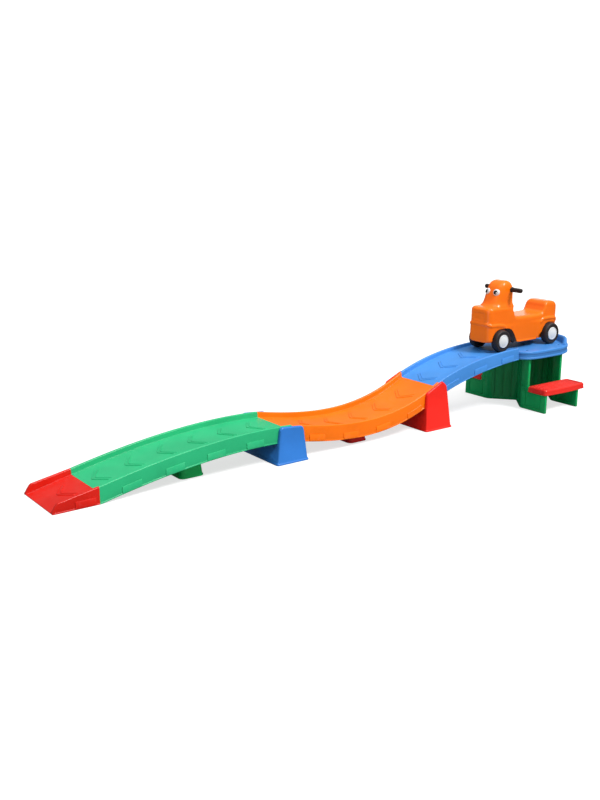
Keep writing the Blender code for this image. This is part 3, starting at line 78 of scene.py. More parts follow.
# Track: cross-section
HALF_WIDTH = 0.150
WALL_HEIGHT = 0.078
DECK_DROP = 0.025
SHEET = 0.004
WALL_WIDTH = 0.0155
WALL_LEAN = 0.003
LIP_THICKNESS, LIP_WALL = 0.004, 0.002
WALL_ROUND = 0.0045     # rounding of the wall tops
HEM = 0.0016            # the outward hem along the walls' lower edge
FINE_STEP = 0.016       # distance between cross-sections of a smooth channel

# Car: axles and wheels
WHEEL_RADIUS = 0.060
WHEEL_INNER, WHEEL_OUTER = 0.0635, 0.1035
FRONT_AXLE_AT, REAR_AXLE_AT = 2.654, 3.058
AXLE_HEIGHT = 0.3903


def from_lip(distance):
    """The frame's X of a place given as its distance from the ramp's lip."""
    return distance - TRACK_LENGTH / 2


# Shader helpers

def new_group(name, inputs, outputs):
    """An empty shader node group, with its number inputs and outputs and its two end nodes."""
    group = bpy.data.node_groups.new(name, "ShaderNodeTree")
    for label, value in inputs.items():
        made = group.interface.new_socket(label, in_out="INPUT", socket_type="NodeSocketFloat")
        made.default_value = value
    for label in outputs:
        group.interface.new_socket(label, in_out="OUTPUT", socket_type="NodeSocketFloat")
    return group, group.nodes.new("NodeGroupInput").outputs, group.nodes.new("NodeGroupOutput").inputs


def feed(tree, socket, given):
    """Set a socket to a number or a plain colour, or link another socket to it."""
    if isinstance(given, bpy.types.NodeSocket):
        tree.links.new(given, socket)
    else:
        socket.default_value = (*given, 1.0) if isinstance(given, tuple) else given


def add(tree, kind, settings=(), **values):
    """A node with its properties set and its inputs fed by name."""
    made = tree.nodes.new(kind)
    for key, value in dict(settings).items():
        setattr(made, key, value)
    for key, value in values.items():
        feed(tree, made.inputs[key.replace("_", " ")], value)
    return made


def place_group(tree, group, **values):
    """A shared effect placed in a material, and its outputs."""
    return add(tree, "ShaderNodeGroup", {"node_tree": group}, **values).outputs


def arithmetic(tree, operation, first, *others, clamp=False):
    """A chain of Math nodes over sockets or numbers, the last of them clamped where asked."""
    for number, other in enumerate(others, 1):
        last = number == len(others)
        made = add(tree, "ShaderNodeMath", {"operation": operation, "use_clamp": clamp and last})
        feed(tree, made.inputs[0], first)
        feed(tree, made.inputs[1], other)
        first = made.outputs[0]
    return first


def product(tree, *parts, clamp=False):
    """The product of sockets and numbers."""
    return arithmetic(tree, "MULTIPLY", *parts, clamp=clamp)


def total(tree, *parts, clamp=False):
    """The sum of sockets and numbers."""
    return arithmetic(tree, "ADD", *parts, clamp=clamp)


def ramp_between(tree, value, low, high):
    """A value eased from 0 to 1 between low and high."""
    return add(tree, "ShaderNodeMapRange", {"interpolation_type": "SMOOTHSTEP"},
               Value=value, From_Min=low, From_Max=high).outputs["Result"]


def mix_colours(tree, share, first, second):
    """A colour mix whose parts are sockets or plain colours."""
    made = add(tree, "ShaderNodeMix", {"data_type": "RGBA"})
    for place, given in ((0, share), (6, first), (7, second)):
        feed(tree, made.inputs[place], given)
    return made.outputs[2]


def noise(tree, scale, detail, roughness, stretch=None):
    """Noise in the piece's own coordinates, in metres."""
    place = tree.nodes.new("ShaderNodeTexCoord").outputs["Object"]
    if stretch:
        mapping = add(tree, "ShaderNodeMapping", Vector=place)
        mapping.inputs["Scale"].default_value = stretch
        place = mapping.outputs["Vector"]
    return add(tree, "ShaderNodeTexNoise", Vector=place, Scale=scale, Detail=detail,
               Roughness=roughness).outputs["Fac"]


def upward_part(tree, vector):
    """The Z of a vector."""
    return add(tree, "ShaderNodeSeparateXYZ", Vector=vector).outputs["Z"]


def new_material(name):
    """A material, its node tree and its Principled shader."""
    made = bpy.data.materials.new(name)
    made.use_nodes = True
    return made, made.node_tree, made.node_tree.nodes["Principled BSDF"]


def give_relief(tree, shader, height, strength, distance):
    """Raise a shader's surface by a height through its normal."""
    relief = add(tree, "ShaderNodeBump", Strength=strength, Distance=distance, Height=height)
    tree.links.new(relief.outputs["Normal"], shader.inputs["Normal"])


# Shared shader effects

def make_grain_group():
    """Fine moulding grain over a slow orange-peel wave, as blow-moulded plastic has."""
    group, given, result = new_group(
        "moulding_grain", {"Grain Scale": 900.0, "Wave Scale": 60.0, "Wave Share": 0.6},
        ("Height", "Speckle"))
    grain = noise(group, given["Grain Scale"], 2.0, 0.6)
    wave = noise(group, given["Wave Scale"], 2.0, 0.4)
    height = total(group, product(group, grain, 0.25), product(group, wave, given["Wave Share"]))
    group.links.new(height, result["Height"])
    group.links.new(grain, result["Speckle"])
    return group


def make_wear_group():
    """Masks for rubbed outer edges, painted shade in inner corners, and scattered scuffs."""
    group, given, result = new_group(
        "edge_and_scuff", {"Edge Amount": 0.5, "Scuff Amount": 0.3}, ("Edges", "Corner_Shade", "Scuffs"))
    point = group.nodes.new("ShaderNodeNewGeometry").outputs["Pointiness"]
    patches = ramp_between(group, noise(group, 38.0, 4.0, 0.6), 0.48, 0.66)
    edges = product(group, ramp_between(group, point, 0.53, 0.62), patches, given["Edge Amount"], clamp=True)
    # painted shade: inner corners and creases are darkened, standing in for the shade that falls there
    corners = arithmetic(group, "SUBTRACT", 1.0, ramp_between(group, point, 0.43, 0.495))
    streaks = ramp_between(group, noise(group, 120.0, 6.0, 0.7, (0.12, 1.0, 1.0)), 0.62, 0.70)
    rubbed = ramp_between(group, noise(group, 7.0, 2.0, 0.5), 0.45, 0.65)
    scuffs = product(group, streaks, rubbed, given["Scuff Amount"], clamp=True)
    for label, mask in (("Edges", edges), ("Corner_Shade", corners), ("Scuffs", scuffs)):
        group.links.new(mask, result[label])
    return group


def make_dust_group():
    """A thin veil of dust on what faces up, broken up by noise."""
    group, given, result = new_group("settled_dust", {"Amount": 0.1}, ("Dust",))
    normal = group.nodes.new("ShaderNodeNewGeometry").outputs["Normal"]
    upward = ramp_between(group, upward_part(group, normal), 0.55, 0.98)
    patches = ramp_between(group, noise(group, 22.0, 5.0, 0.65), 0.38, 0.72)
    group.links.new(product(group, upward, patches, given["Amount"], clamp=True), result["Dust"])
    return group


GRAIN = make_grain_group()
WEAR = make_wear_group()
DUST = make_dust_group()


# Materials

DUST_COLOUR = (0.55, 0.53, 0.49)


def moulded(name, colour, roughness, grain=900.0, wave=60.0, bump=0.00025, edge=0.12, scuff=0.12,
            dust=0.02, coat=0.0, variation=0.05, specular=0.35):
    """Moulded plastic: toned colour, lighter rubbed edges, painted shade in inner corners, scuffs, a little
    dust, and grain.
    """
    made, tree, shader = new_material(name)
    grains = place_group(tree, GRAIN, Grain_Scale=grain, Wave_Scale=wave)
    wear = place_group(tree, WEAR, Edge_Amount=edge, Scuff_Amount=scuff)
    veil = place_group(tree, DUST, Amount=dust)
    deep = tuple(c * (1 - 1.4 * variation) for c in colour)
    light = tuple(min(1.0, c * (1 + variation)) for c in colour)
    rubbed = tuple(c + (1 - c) * 0.30 for c in colour)
    # the darker of these two tones is painted shade for the inner corners
    speckled, corner_shade_tone = (tuple(c * share for c in colour) for share in (0.7, 0.45))
    cloud = ramp_between(tree, noise(tree, 5.0, 4.0, 0.55), 0.35, 0.65)
    speckles = ramp_between(tree, grains["Speckle"], 0.55, 0.75)
    base = mix_colours(tree, cloud, deep, light)
    for share, tone in (
            (product(tree, speckles, 0.10), speckled), (product(tree, wear["Edges"], 0.6), rubbed),
            (product(tree, wear["Corner_Shade"], 0.35), corner_shade_tone), (product(tree, wear["Scuffs"], 0.5), rubbed),
            (veil["Dust"], DUST_COLOUR)):
        base = mix_colours(tree, share, base, tone)
    tree.links.new(base, shader.inputs["Base Color"])
    rough = total(tree, roughness, product(tree, wear["Scuffs"], 0.35), product(tree, veil["Dust"], 0.9),
                  product(tree, cloud, 0.05), clamp=True)
    tree.links.new(rough, shader.inputs["Roughness"])
    shader.inputs["Specular IOR Level"].default_value = specular
    shader.inputs["Coat Weight"].default_value = coat
    shader.inputs["Coat Roughness"].default_value = 0.22
    give_relief(tree, shader, grains["Height"], 0.6, bump)
    return made


def drawn_steel(name, stretch, bright=(0.62, 0.62, 0.64), dull=(0.33, 0.31, 0.29)):
    """Drawn or blackened steel: lengthwise draw lines and a little tarnish."""
    made, tree, shader = new_material(name)
    lines = noise(tree, 900.0, 3.0, 0.6, stretch)
    tarnish = ramp_between(tree, noise(tree, 45.0, 4.0, 0.6), 0.45, 0.70)
    base = mix_colours(tree, product(tree, tarnish, 0.5), bright, dull)
    tree.links.new(base, shader.inputs["Base Color"])
    shader.inputs["Metallic"].default_value = 1.0
    tree.links.new(total(tree, 0.24, product(tree, lines, 0.22)), shader.inputs["Roughness"])
    give_relief(tree, shader, lines, 0.4, 0.0001)
    return made


PLASTICS = {  # finish: slot, colour, roughness, and what differs from plain moulded plastic
    "ramp_red": ("red_plastic", (0.64, 0.010, 0.003), 0.32, {}),
    "hill_green": ("green_plastic", (0.022, 0.45, 0.185), 0.32, {}),
    # painted light: the hill's green plastic made lighter, so that the foot in the track's shade looks lit
    "foot_green_lightened": ("green_plastic", (0.002, 0.66, 0.15), 0.36, {}),
    "valley_orange": ("orange_plastic", (0.95, 0.175, 0.001), 0.32, {}),
    "hill_blue": ("blue_plastic", (0.060, 0.270, 0.71), 0.32, {}),
    "trestle_blue": ("trestle_blue_plastic", (0.028, 0.185, 0.59), 0.34, {}),
    "trestle_red": ("red_plastic", (0.90, 0.018, 0.010), 0.32, {}),
    "panel_green": ("dark_green_plastic", (0.002, 0.42, 0.115), 0.28, {"wave": 45.0}),
    "step_red": ("red_plastic", (0.74, 0.020, 0.012), 0.26, {"coat": 0.3}),
    "car_orange": ("orange_plastic", (1.0, 0.172, 0.001), 0.30,
                   {"wave": 38.0, "bump": 0.00012, "scuff": 0.06, "coat": 0.3, "specular": 0.3}),
    "tyre_black": ("black_plastic", (0.028, 0.021, 0.020), 0.48,
                   {"wave": 90.0, "edge": 0.3, "scuff": 0.6, "dust": 0.10}),
    # black plastic; on the front arch liners it also paints the shade inside the arches
    "arch_black": ("black_plastic", (0.018, 0.014, 0.014), 0.42, {"edge": 0.3, "dust": 0.05}),
    "hub_white": ("pale_plastic", (0.72, 0.735, 0.73), 0.32, {"edge": 0.1, "dust": 0.04, "variation": 0.03}),
    "grip_black": ("grip_plastic", (0.024, 0.015, 0.014), 0.50,
                   {"grain": 1500.0, "bump": 0.0004, "dust": 0.03}),
    "eye_white": ("pale_plastic", (0.80, 0.80, 0.80), 0.20,
                  {"edge": 0.0, "scuff": 0.1, "dust": 0.0, "coat": 0.4, "variation": 0.02}),
    "pupil_black": ("black_plastic", (0.012, 0.012, 0.014), 0.18,
                    {"edge": 0.0, "scuff": 0.1, "dust": 0.0, "coat": 0.5}),
}
STEELS = {  # finish: how its draw lines are stretched, and its colours where it isn't bright
    "rod_steel": ((1.0, 0.03, 1.0),),
    "screw_steel": ((1.0, 1.0, 0.1),),
    # blackened steel; on the platform screws its darkness also paints the shade in their holes
    "screw_black_hole_shade": ((1.0, 1.0, 0.1), (0.045, 0.045, 0.05), (0.02, 0.02, 0.02)),
}
MATERIALS = {finish: moulded(finish, colour, roughness, **detail)
             for finish, (_, colour, roughness, detail) in PLASTICS.items()}
MATERIALS.update({finish: drawn_steel(finish, *look) for finish, look in STEELS.items()})


# Outlines and rings

def turns(*angles):
    """The cosine and sine of each angle, given in degrees."""
    return [(math.cos(math.radians(angle)), math.sin(math.radians(angle))) for angle in angles]


def circle(count):
    """The cosine and sine of evenly spaced places round a circle."""
    return [(math.cos(math.tau * k / count), math.sin(math.tau * k / count)) for k in range(count)]


def arc(centre, radius, start, end, steps):
    """Points on a circle's arc, with the angles in degrees."""
    return [(centre[0] + radius * c, centre[1] + radius * s)
            for c, s in turns(*(start + (end - start) * k / steps for k in range(steps + 1)))]


def rectangle(low, high, near, far):
    """A rectangle's corners, from its ranges along the first and the second direction."""
    return [(low, near), (high, near), (high, far), (low, far)]


def rounded(corners, radius, steps):
    """An outline with each of its corners turned into an arc."""
    points = []
    for i, corner in enumerate(corners):
        here = Vector(corner)
        before = (Vector(corners[i - 1]) - here).normalized()
        after = (Vector(corners[(i + 1) % len(corners)]) - here).normalized()
        half = before.angle(after) / 2
        start = here + before * radius / math.tan(half)
        end = here + after * radius / math.tan(half)
        middle = here + (before + after).normalized() * radius / math.sin(half)
        for k in range(steps + 1):
            blend = (start - middle).lerp(end - middle, k / steps).normalized()
            points.append(tuple(middle + blend * radius))
    return points


def mirrored(half):
    """A half outline of (y, z) points joined to its mirror image."""
    return half + [(-y, z) for y, z in reversed(half)]


def spread(start, end, step):
    """Places from start to end, about step apart."""
    count = max(2, round((end - start) / step))
    return [start + (end - start) * k / count for k in range(count + 1)]


def repeated(first, pitch, length, end):
    """Starts of repeated features that fit before the end."""
    found = []
    while first + length < end:
        found.append(first)
        first += pitch
    return found


def level_ring(plan, z):
    """A level ring of (distance from the lip, y) points."""
    return [Vector((from_lip(x), y, z)) for x, y in plan]


def cross_ring(x, outline):
    """An upright ring of (y, z) points across the track at x."""
    return [Vector((from_lip(x), y, z)) for y, z in outline]


# Mesh helpers

def add_loft(form, rings, closed=False):
    """Skin a row of rings of points; a closed row joins its last ring to its first."""
    rows = [[form.verts.new(point) for point in ring] for ring in rings]
    pairs = list(zip(rows, rows[1:]))
    if closed:
        pairs.append((rows[-1], rows[0]))
    for first, second in pairs:
        for i in range(len(first)):
            j = (i + 1) % len(first)
            form.faces.new((first[i], first[j], second[j], second[i]))
    if not closed:
        form.faces.new(list(reversed(rows[0])))
        form.faces.new(rows[-1])


def lofted(*rows):
    """A new form with a loft for each row of rings."""
    form = bmesh.new()
    for rings in rows:
        add_loft(form, rings)
    return form


def add_box(form, x_range, y_range, z_range):
    """A box, with its range along the track given from the lip."""
    add_loft(form, [level_ring(rectangle(*x_range, *y_range), z) for z in z_range])


def add_turned(form, profile, segments, centre=(0.0, 0.0, 0.0), closed=False, upright=False):
    """Turn a profile of (radius, place along the axis) about an axis across the track, or upright."""
    rings = []
    for radius, along in profile:
        offsets = [(radius * c, radius * s, along) if upright else (radius * c, along, radius * s)
                   for c, s in circle(segments)]
        rings.append([Vector([a + b for a, b in zip(centre, offset)]) for offset in offsets])
    add_loft(form, rings, closed)


def make_object(name, form):
    """Turn a form into an object whose faces all point outwards."""
    bmesh.ops.recalc_face_normals(form, faces=form.faces)
    mesh = bpy.data.meshes.new(name)
    form.to_mesh(mesh)
    form.free()
    made = bpy.data.objects.new(name, mesh)
    bpy.context.scene.collection.objects.link(made)
    return made


def shade(piece, angle):
    """Smooth shading that keeps the edges sharper than an angle in degrees."""
    piece.data.shade_smooth()
    piece.data.set_sharp_from_angle(angle=math.radians(angle))


def make_piece(name, form, finish, body=TRACK, replaced=(), location=(0.0, 0.0, 0.0), sharp=35):
    """Turn a form into a named piece with its material, riding on a body."""
    made = make_object(name, form)
    shade(made, sharp)
    made.location = location
    made.data.materials.append(MATERIALS[finish])
    if replaced:
        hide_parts(*replaced)
    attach(made, body)
    return made


def apply_modifiers(piece):
    """Bake a piece's modifiers into its mesh."""
    graph = bpy.context.evaluated_depsgraph_get()
    graph.update()
    settled = bpy.data.meshes.new_from_object(piece.evaluated_get(graph), depsgraph=graph)
    piece.modifiers.clear()
    piece.data = settled


def combine(piece, joined=(), cut=()):
    """Join forms to a piece, and then cut others out of it."""
    tools = [(make_object(piece.name + "_tool", form), operation)
             for forms, operation in ((joined, "UNION"), (cut, "DIFFERENCE")) for form in forms]
    for tool, operation in tools:
        step = piece.modifiers.new(tool.name, "BOOLEAN")
        step.operation = operation
        step.solver = "MANIFOLD"
        step.object = tool
    apply_modifiers(piece)
    for tool, _ in tools:
        bpy.data.objects.remove(tool, do_unlink=True)


def soften(piece, width, segments, angle):
    """Round the piece's sharp edges by width, and give the faces clean shading."""
    bevel = piece.modifiers.new("edge_round", "BEVEL")
    bevel.width = width
    bevel.segments = segments
    bevel.limit_method = "ANGLE"
    bevel.angle_limit = math.radians(angle)
    bevel.harden_normals = True
    apply_modifiers(piece)


# Track: its curves

def hermite(x, start, end, slopes):
    """Height at x of the smooth curve between two points with the given end slopes."""
    span = end[0] - start[0]
    t = (x - start[0]) / span
    return (start[1] * (2 * t**3 - 3 * t**2 + 1) + span * slopes[0] * (t**3 - 2 * t**2 + t)
            + end[1] * (3 * t**2 - 2 * t**3) + span * slopes[1] * (t**3 - t**2))


def wall_top(x):
    """Height of the track's wall tops at a distance from the lip."""
    if x < RAMP_WALL_START[0]:
        rise = math.sin(math.pi / 2 * max(x, 0) / RAMP_WALL_START[0])
        foot = LIP_THICKNESS + LIP_WALL
        return foot + (RAMP_WALL_START[1] - foot) * rise
    if x < RAMP_END:
        share = (x - RAMP_WALL_START[0]) / (RAMP_END - RAMP_WALL_START[0])
        return RAMP_WALL_START[1] + (RAMP_JOINT[1] - RAMP_WALL_START[1]) * share
    if x < LOW_HILL_END:
        return hermite(x, RAMP_JOINT, LOW_JOINT, LOW_HILL_SLOPES)
    if x < VALLEY_END:
        return hermite(x, LOW_JOINT, HIGH_JOINT, VALLEY_SLOPES)
    return hermite(x, HIGH_JOINT, TOP_JOINT, HIGH_HILL_SLOPES)


def deck_top(x):
    """Height of the surface that the wheels roll on."""
    if x < RAMP_END:
        end = RAMP_JOINT[1] - DECK_DROP
        return LIP_THICKNESS + (end - LIP_THICKNESS) * max(x, 0) / RAMP_END
    if x < VALLEY_END:
        return wall_top(x) - DECK_DROP
    if x < DECK_LEVEL_FROM:
        return hermite(x, (VALLEY_END, HIGH_JOINT[1] - DECK_DROP), (DECK_LEVEL_FROM, PLATFORM_TOP),
                       DECK_CREST_SLOPES)
    return PLATFORM_TOP


def wall_bottom(x):
    """Height of the lower edge of the track's walls."""
    if x < RAMP_END:
        return 0.0
    if x > VALLEY_END:
        return hermite(x, (VALLEY_END, HIGH_JOINT[1] - WALL_HEIGHT), (HIGH_HILL_END, HIGH_HILL_LOWER_END),
                       HIGH_HILL_LOWER_SLOPES)
    return max(wall_top(x) - WALL_HEIGHT, 0.0)


# Track: the channel sections

END_PLATE = (0.001, 0.005)      # how far inside a section's end its closing plate starts and ends
RIB_PITCH, RIB_THICKNESS = 0.165, 0.004
PAD_PITCH, PAD_LENGTH, PAD_HEIGHT, PAD_PROUD = 0.208, 0.092, 0.034, 0.0030
ARROW_SPAN, ARROW_SWEEP, ARROW_STROKE, ARROW_PROUD = 0.070, 0.050, 0.022, 0.0032
ARROW_SUNK = 0.0012
ARROW_PROFILE = (  # share of the stroke, share of the rise; a negative rise is a foot under the deck
    (0.0, -1), (0.0, 0.5), (0.03, 0.9), (0.10, 1.0), (0.20, 0.9), (0.25, 0.25), (0.5, 0.2),
    (0.75, 0.25), (0.80, 0.9), (0.90, 1.0), (0.97, 0.9), (1.0, 0.5), (1.0, -1))
SECTIONS = (  # name, finish, start, end, first pad, first arrow, pitch of the arrows
    ("ramp_end", "ramp_red", 0.0, RAMP_END, 0.100, 0.084, 0.158),
    ("low_hill_track", "hill_green", RAMP_END, LOW_HILL_END, 0.312, 0.244, 0.158),
    ("valley_track", "valley_orange", LOW_HILL_END, VALLEY_END, 1.290, 1.344, 0.158),
    ("high_hill_track", "hill_blue", VALLEY_END, HIGH_HILL_END, 2.180, 2.137, 0.150))


def channel_ring(x):
    """The track's cross-section at x, with rounded wall tops and a hem along the skirts."""
    top, deck, bottom = wall_top(x), deck_top(x), wall_bottom(x)
    crown = min(WALL_ROUND, 0.4 * (top - deck))
    fillet = 0.45 * crown
    under = max(deck - SHEET, bottom + 0.0015)
    hollow_top = max(top - SHEET, bottom + 0.002)
    head = HALF_WIDTH - WALL_WIDTH
    foot = head - WALL_LEAN
    hem = HEM * min(1.0, (top - bottom) / 0.03)
    half = [(foot - 1.2 * crown, deck)]
    half += [(foot - fillet + fillet * s, deck + fillet * (1 - c)) for c, s in turns(25, 50, 75, 90)]
    half += [(head + crown * (1 - c), top - crown + crown * s) for c, s in turns(0, 22, 45, 68, 90)]
    half += [(HALF_WIDTH - crown + crown * s, top - crown + crown * c) for c, s in turns(0, 22, 45, 68, 90)]
    half += [(HALF_WIDTH + out * hem, bottom + up * hem)
             for out, up in ((0.0, 4.0), (0.7, 3.2), (1.0, 2.4), (1.0, 0.5), (0.5, 0.0))]
    half += [(HALF_WIDTH - SHEET, bottom), (HALF_WIDTH - SHEET, hollow_top),
             (head + SHEET, hollow_top), (foot + SHEET, under)]
    return cross_ring(x, mirrored(half))


def add_end_plate(form, x_low, x_high):
    """A plate that closes a section's end, up into both hollow walls."""
    middle = (x_low + x_high) / 2
    side = HALF_WIDTH - SHEET / 2
    shoulder = HALF_WIDTH - WALL_WIDTH + SHEET / 2
    low, deck = wall_bottom(middle) + 0.0015, deck_top(middle) - SHEET / 2
    top = max(wall_top(middle) - SHEET / 2, deck + 0.0005)
    outline = [(-side, low), (side, low), (side, top), (shoulder, top), (shoulder, deck),
               (-shoulder, deck), (-shoulder, top), (-side, top)]
    add_loft(form, [cross_ring(x, outline) for x in (x_low, x_high)])


def add_rib(form, x):
    """A rib across the underside of the deck, between the skirts."""
    side, end = HALF_WIDTH - SHEET / 2, x + RIB_THICKNESS
    top = min(deck_top(x), deck_top(end)) - SHEET / 2
    low = max(wall_bottom(x), wall_bottom(end)) + 0.010
    if top - low > 2 * SHEET:
        add_box(form, (x, end), (-side, side), (low, top))


def add_pad(form, start, side):
    """A shallow raised pad on a skirt, along its hem, with softened edges."""
    end = start + PAD_LENGTH
    places = [start - 0.0006, start - 0.0002, *spread(start, end, 0.012), end + 0.0002, end + 0.0006]
    inside = side * (HALF_WIDTH - SHEET / 2)
    rings = []
    for number, x in enumerate(places):
        low, high = wall_bottom(x) + 0.0030, wall_bottom(x) + PAD_HEIGHT
        proud = PAD_PROUD * (0.1, 0.75, 1.0)[min(number, len(places) - 1 - number, 2)]
        rings.append(cross_ring(x, (
            (inside, low), (side * (HALF_WIDTH + proud), low), (side * (HALF_WIDTH + proud), high - 0.0016),
            (side * (HALF_WIDTH + 0.75 * proud), high - 0.0005), (side * (HALF_WIDTH + 0.1 * proud), high),
            (inside, high))))
    add_loft(form, rings)


def add_arrow(form, point):
    """A raised chevron on the deck that points down the track, with a rim along both its edges."""
    count, nose = 24, 0.09
    rings = []
    for k in range(-count, count + 1):
        share = k / count
        bend = math.sqrt(share**2 + nose**2) - nose
        taper = min(1.0, (1 - abs(share)) / 0.05 + 0.12)
        ring = []
        for along, rise in ARROW_PROFILE:
            x = point + ARROW_SWEEP * bend + ARROW_STROKE * along
            lift = ARROW_PROUD * rise * taper if rise > 0 else -ARROW_SUNK
            ring.append(Vector((from_lip(x), ARROW_SPAN * share, deck_top(x) + lift)))
        rings.append(ring)
    add_loft(form, rings)


def build_section(name, finish, start, end, pad_start, arrow_start, arrow_pitch):
    """One channel section: its shell with ribs and end plates, its side pads and its arrows."""
    low = start + (SEAM_GAP / 2 if start > 0 else 0)
    high = end - SEAM_GAP / 2
    if start > 0:
        cuts = spread(low, high, FINE_STEP)
    else:
        cuts = [0.0, 0.0006, 0.002, 0.0045, 0.008, 0.012, 0.017, 0.022, 0.027, 0.031,
                *spread(RAMP_WALL_START[0], high, FINE_STEP)]
    shell = lofted([channel_ring(x) for x in cuts])
    add_end_plate(shell, high - END_PLATE[1], high - END_PLATE[0])
    if start > 0:
        add_end_plate(shell, low + END_PLATE[0], low + END_PLATE[1])
    for x in repeated(start + RIB_PITCH, RIB_PITCH, 0.08, end):
        add_rib(shell, x)
    make_piece(name + "_shell", shell, finish, replaced=(name,))

    trims = bmesh.new()
    for x in repeated(pad_start, PAD_PITCH, PAD_LENGTH, end):
        for side in (-1, 1):
            add_pad(trims, x, side)
    for x in repeated(arrow_start, arrow_pitch, ARROW_SWEEP + ARROW_STROKE, min(end, DECK_LEVEL_FROM)):
        add_arrow(trims, x)
    make_piece(name + "_pads_and_arrows", trims, finish)


# Platform

RIM_DEPTH = 0.0435
PLATFORM_HALF_WIDTH = 0.200
PLATFORM_WIDEST = 2.978
PLATFORM_REAR_POWER = 2.4
FRONT_REACH, FRONT_POWER = 0.255, 4.2
PLATFORM_WALL = 0.005
PLATFORM_EDGE, RIM_BAND = 0.005, 0.0022     # rounding of the tray's top edge, depth of the rim's band
STOP_START, STOP_HEIGHT, STOP_SETBACK, STOP_THICKNESS = 3.095, 0.034, 0.006, 0.024
STOP_PROFILE = (  # share of the thickness, share of the height; a negative height is a foot in the tray
    (0.0, -1), (0.03, 0.03), (0.08, 0.30), (0.11, 0.72), (0.17, 0.90), (0.28, 0.985), (0.42, 1.0),
    (0.58, 0.985), (0.72, 0.90), (0.84, 0.62), (0.92, 0.25), (0.97, 0.05), (1.0, -1))
STOP_SUNK = 0.0010
FRONT_PANEL_AT, REAR_PANEL_AT = 2.803, 3.068
SCREW_OFFSET, SCREW_HOLE_RADIUS = 0.1428, 0.0056


def rear_curve_point(angle, inset):
    """A point on the platform's rear edge, set in from it, at an angle in radians from the rear end."""
    reach = TRACK_LENGTH - PLATFORM_WIDEST - inset
    across = abs(math.sin(angle))**(2 / PLATFORM_REAR_POWER)
    return (PLATFORM_WIDEST + reach * abs(math.cos(angle))**(2 / PLATFORM_REAR_POWER),
            math.copysign((PLATFORM_HALF_WIDTH - inset) * across, angle))


def platform_outline(inset, front):
    """The platform's plan outline, set in from its edge and cut off square in front."""
    rear = [rear_curve_point(math.radians(90 * k / 40), inset) for k in range(-40, 41)]
    quarter = []
    for k in range(1, 19):
        x = PLATFORM_WIDEST - (PLATFORM_WIDEST - front) * math.sin(math.radians(90 * k / 18))
        share = min((PLATFORM_WIDEST - x) / (FRONT_REACH - inset), 1.0)
        quarter.append((x, (PLATFORM_HALF_WIDTH - inset) * (1 - share**FRONT_POWER)**(1 / FRONT_POWER)))
    return rear + quarter + [(x, -y) for x, y in reversed(quarter)]


def stop_line(setback):
    """Points along the rear stop, set in from the platform's edge."""
    count = 40
    share = min((STOP_START - PLATFORM_WIDEST) / (TRACK_LENGTH - PLATFORM_WIDEST - setback), 0.95)
    limit = math.acos(share**(PLATFORM_REAR_POWER / 2))
    found = [rear_curve_point(limit * k / count, setback) for k in range(-count, count + 1)]
    return [Vector((from_lip(x), y)) for x, y in found]


def build_platform():
    """The launch platform: a rimmed tray with a banded rim, a soft edge and a rear stop."""
    front = HIGH_HILL_END + SEAM_GAP / 2
    bottom = PLATFORM_TOP - RIM_DEPTH
    levels = [(PLATFORM_TOP - PLATFORM_WALL, PLATFORM_WALL + 0.012),
              (PLATFORM_TOP - PLATFORM_WALL, PLATFORM_WALL + 0.001), (bottom, PLATFORM_WALL),
              (bottom, 0.0015), (bottom + 0.0004, 0.0004), (bottom + 0.0015, 0.0), (bottom + 0.0080, 0.0),
              (bottom + 0.0095, 0.6 * RIM_BAND), (bottom + 0.0105, RIM_BAND),
              (PLATFORM_TOP - 0.0150, RIM_BAND), (PLATFORM_TOP - 0.0140, 0.7 * RIM_BAND),
              (PLATFORM_TOP - 0.0130, 0.0002)]
    levels += [(PLATFORM_TOP - PLATFORM_EDGE + PLATFORM_EDGE * s, PLATFORM_EDGE * (1 - c))
               for c, s in turns(0, 15, 30, 45, 60, 75, 90)]
    levels += [(PLATFORM_TOP, PLATFORM_EDGE + 0.004)]
    rings = [level_ring(platform_outline(inset, front), z) for z, inset in levels]
    tray = make_piece("platform_tray", lofted(rings), "hill_blue", replaced=("platform",))
    holes = bmesh.new()
    hole = [(SCREW_HOLE_RADIUS + wider, z)
            for wider, z in ((0.0, -0.0031), (0.0024, -0.0028), (0.0028, -0.0004), (0.0040, 0.001))]
    for at in (FRONT_PANEL_AT, REAR_PANEL_AT):
        for side in (-1, 1):
            add_turned(holes, hole, 32, (from_lip(at), side * SCREW_OFFSET, PLATFORM_TOP), upright=True)
    combine(tray, cut=(holes,))
    shade(tray, 35)

    outer = stop_line(STOP_SETBACK - 0.002)
    inner = stop_line(STOP_SETBACK + STOP_THICKNESS + 0.002)
    rings = []
    for k, (near, far) in enumerate(zip(outer, inner)):
        rise = STOP_HEIGHT * min(1.0, 0.10 + 3.0 * math.sin(math.pi * k / (len(outer) - 1)))
        ring = []
        for share, height in STOP_PROFILE:
            place = near.lerp(far, share)
            lift = height * rise if height > 0 else -STOP_SUNK
            ring.append(Vector((place.x, place.y, PLATFORM_TOP + lift)))
        rings.append(ring)
    make_piece("platform_rear_stop", lofted(rings), "hill_blue")


# Supports: trestles and feet

TRESTLES = (  # name, finish, foot's start and end, crown's corners (distance, height), their rounding
    ("low_trestle", "trestle_blue", (1.090, 1.264), ((1.114, 0.177), (1.245, 0.165)), 0.018),
    ("high_trestle", "trestle_red", (2.027, 2.204), ((2.034, 0.200), (2.147, 0.251), (2.175, 0.223)), 0.021))
FEET = (  # name, finish, start, end, half width
    ("low_hill_foot", "foot_green_lightened", 0.632, 0.752, 0.080), ("valley_foot", "trestle_red", 1.580, 1.692, 0.098))
TRESTLE_FOOT_HALF_WIDTH, TRESTLE_TAPER, TRESTLE_WALL, TRESTLE_EDGE = 0.175, 0.055, 0.005, 0.007
FIT = 0.0004            # clearance between a piece and what it takes in
FOOT_TAPER, FOOT_CORNER = 0.10, 0.022


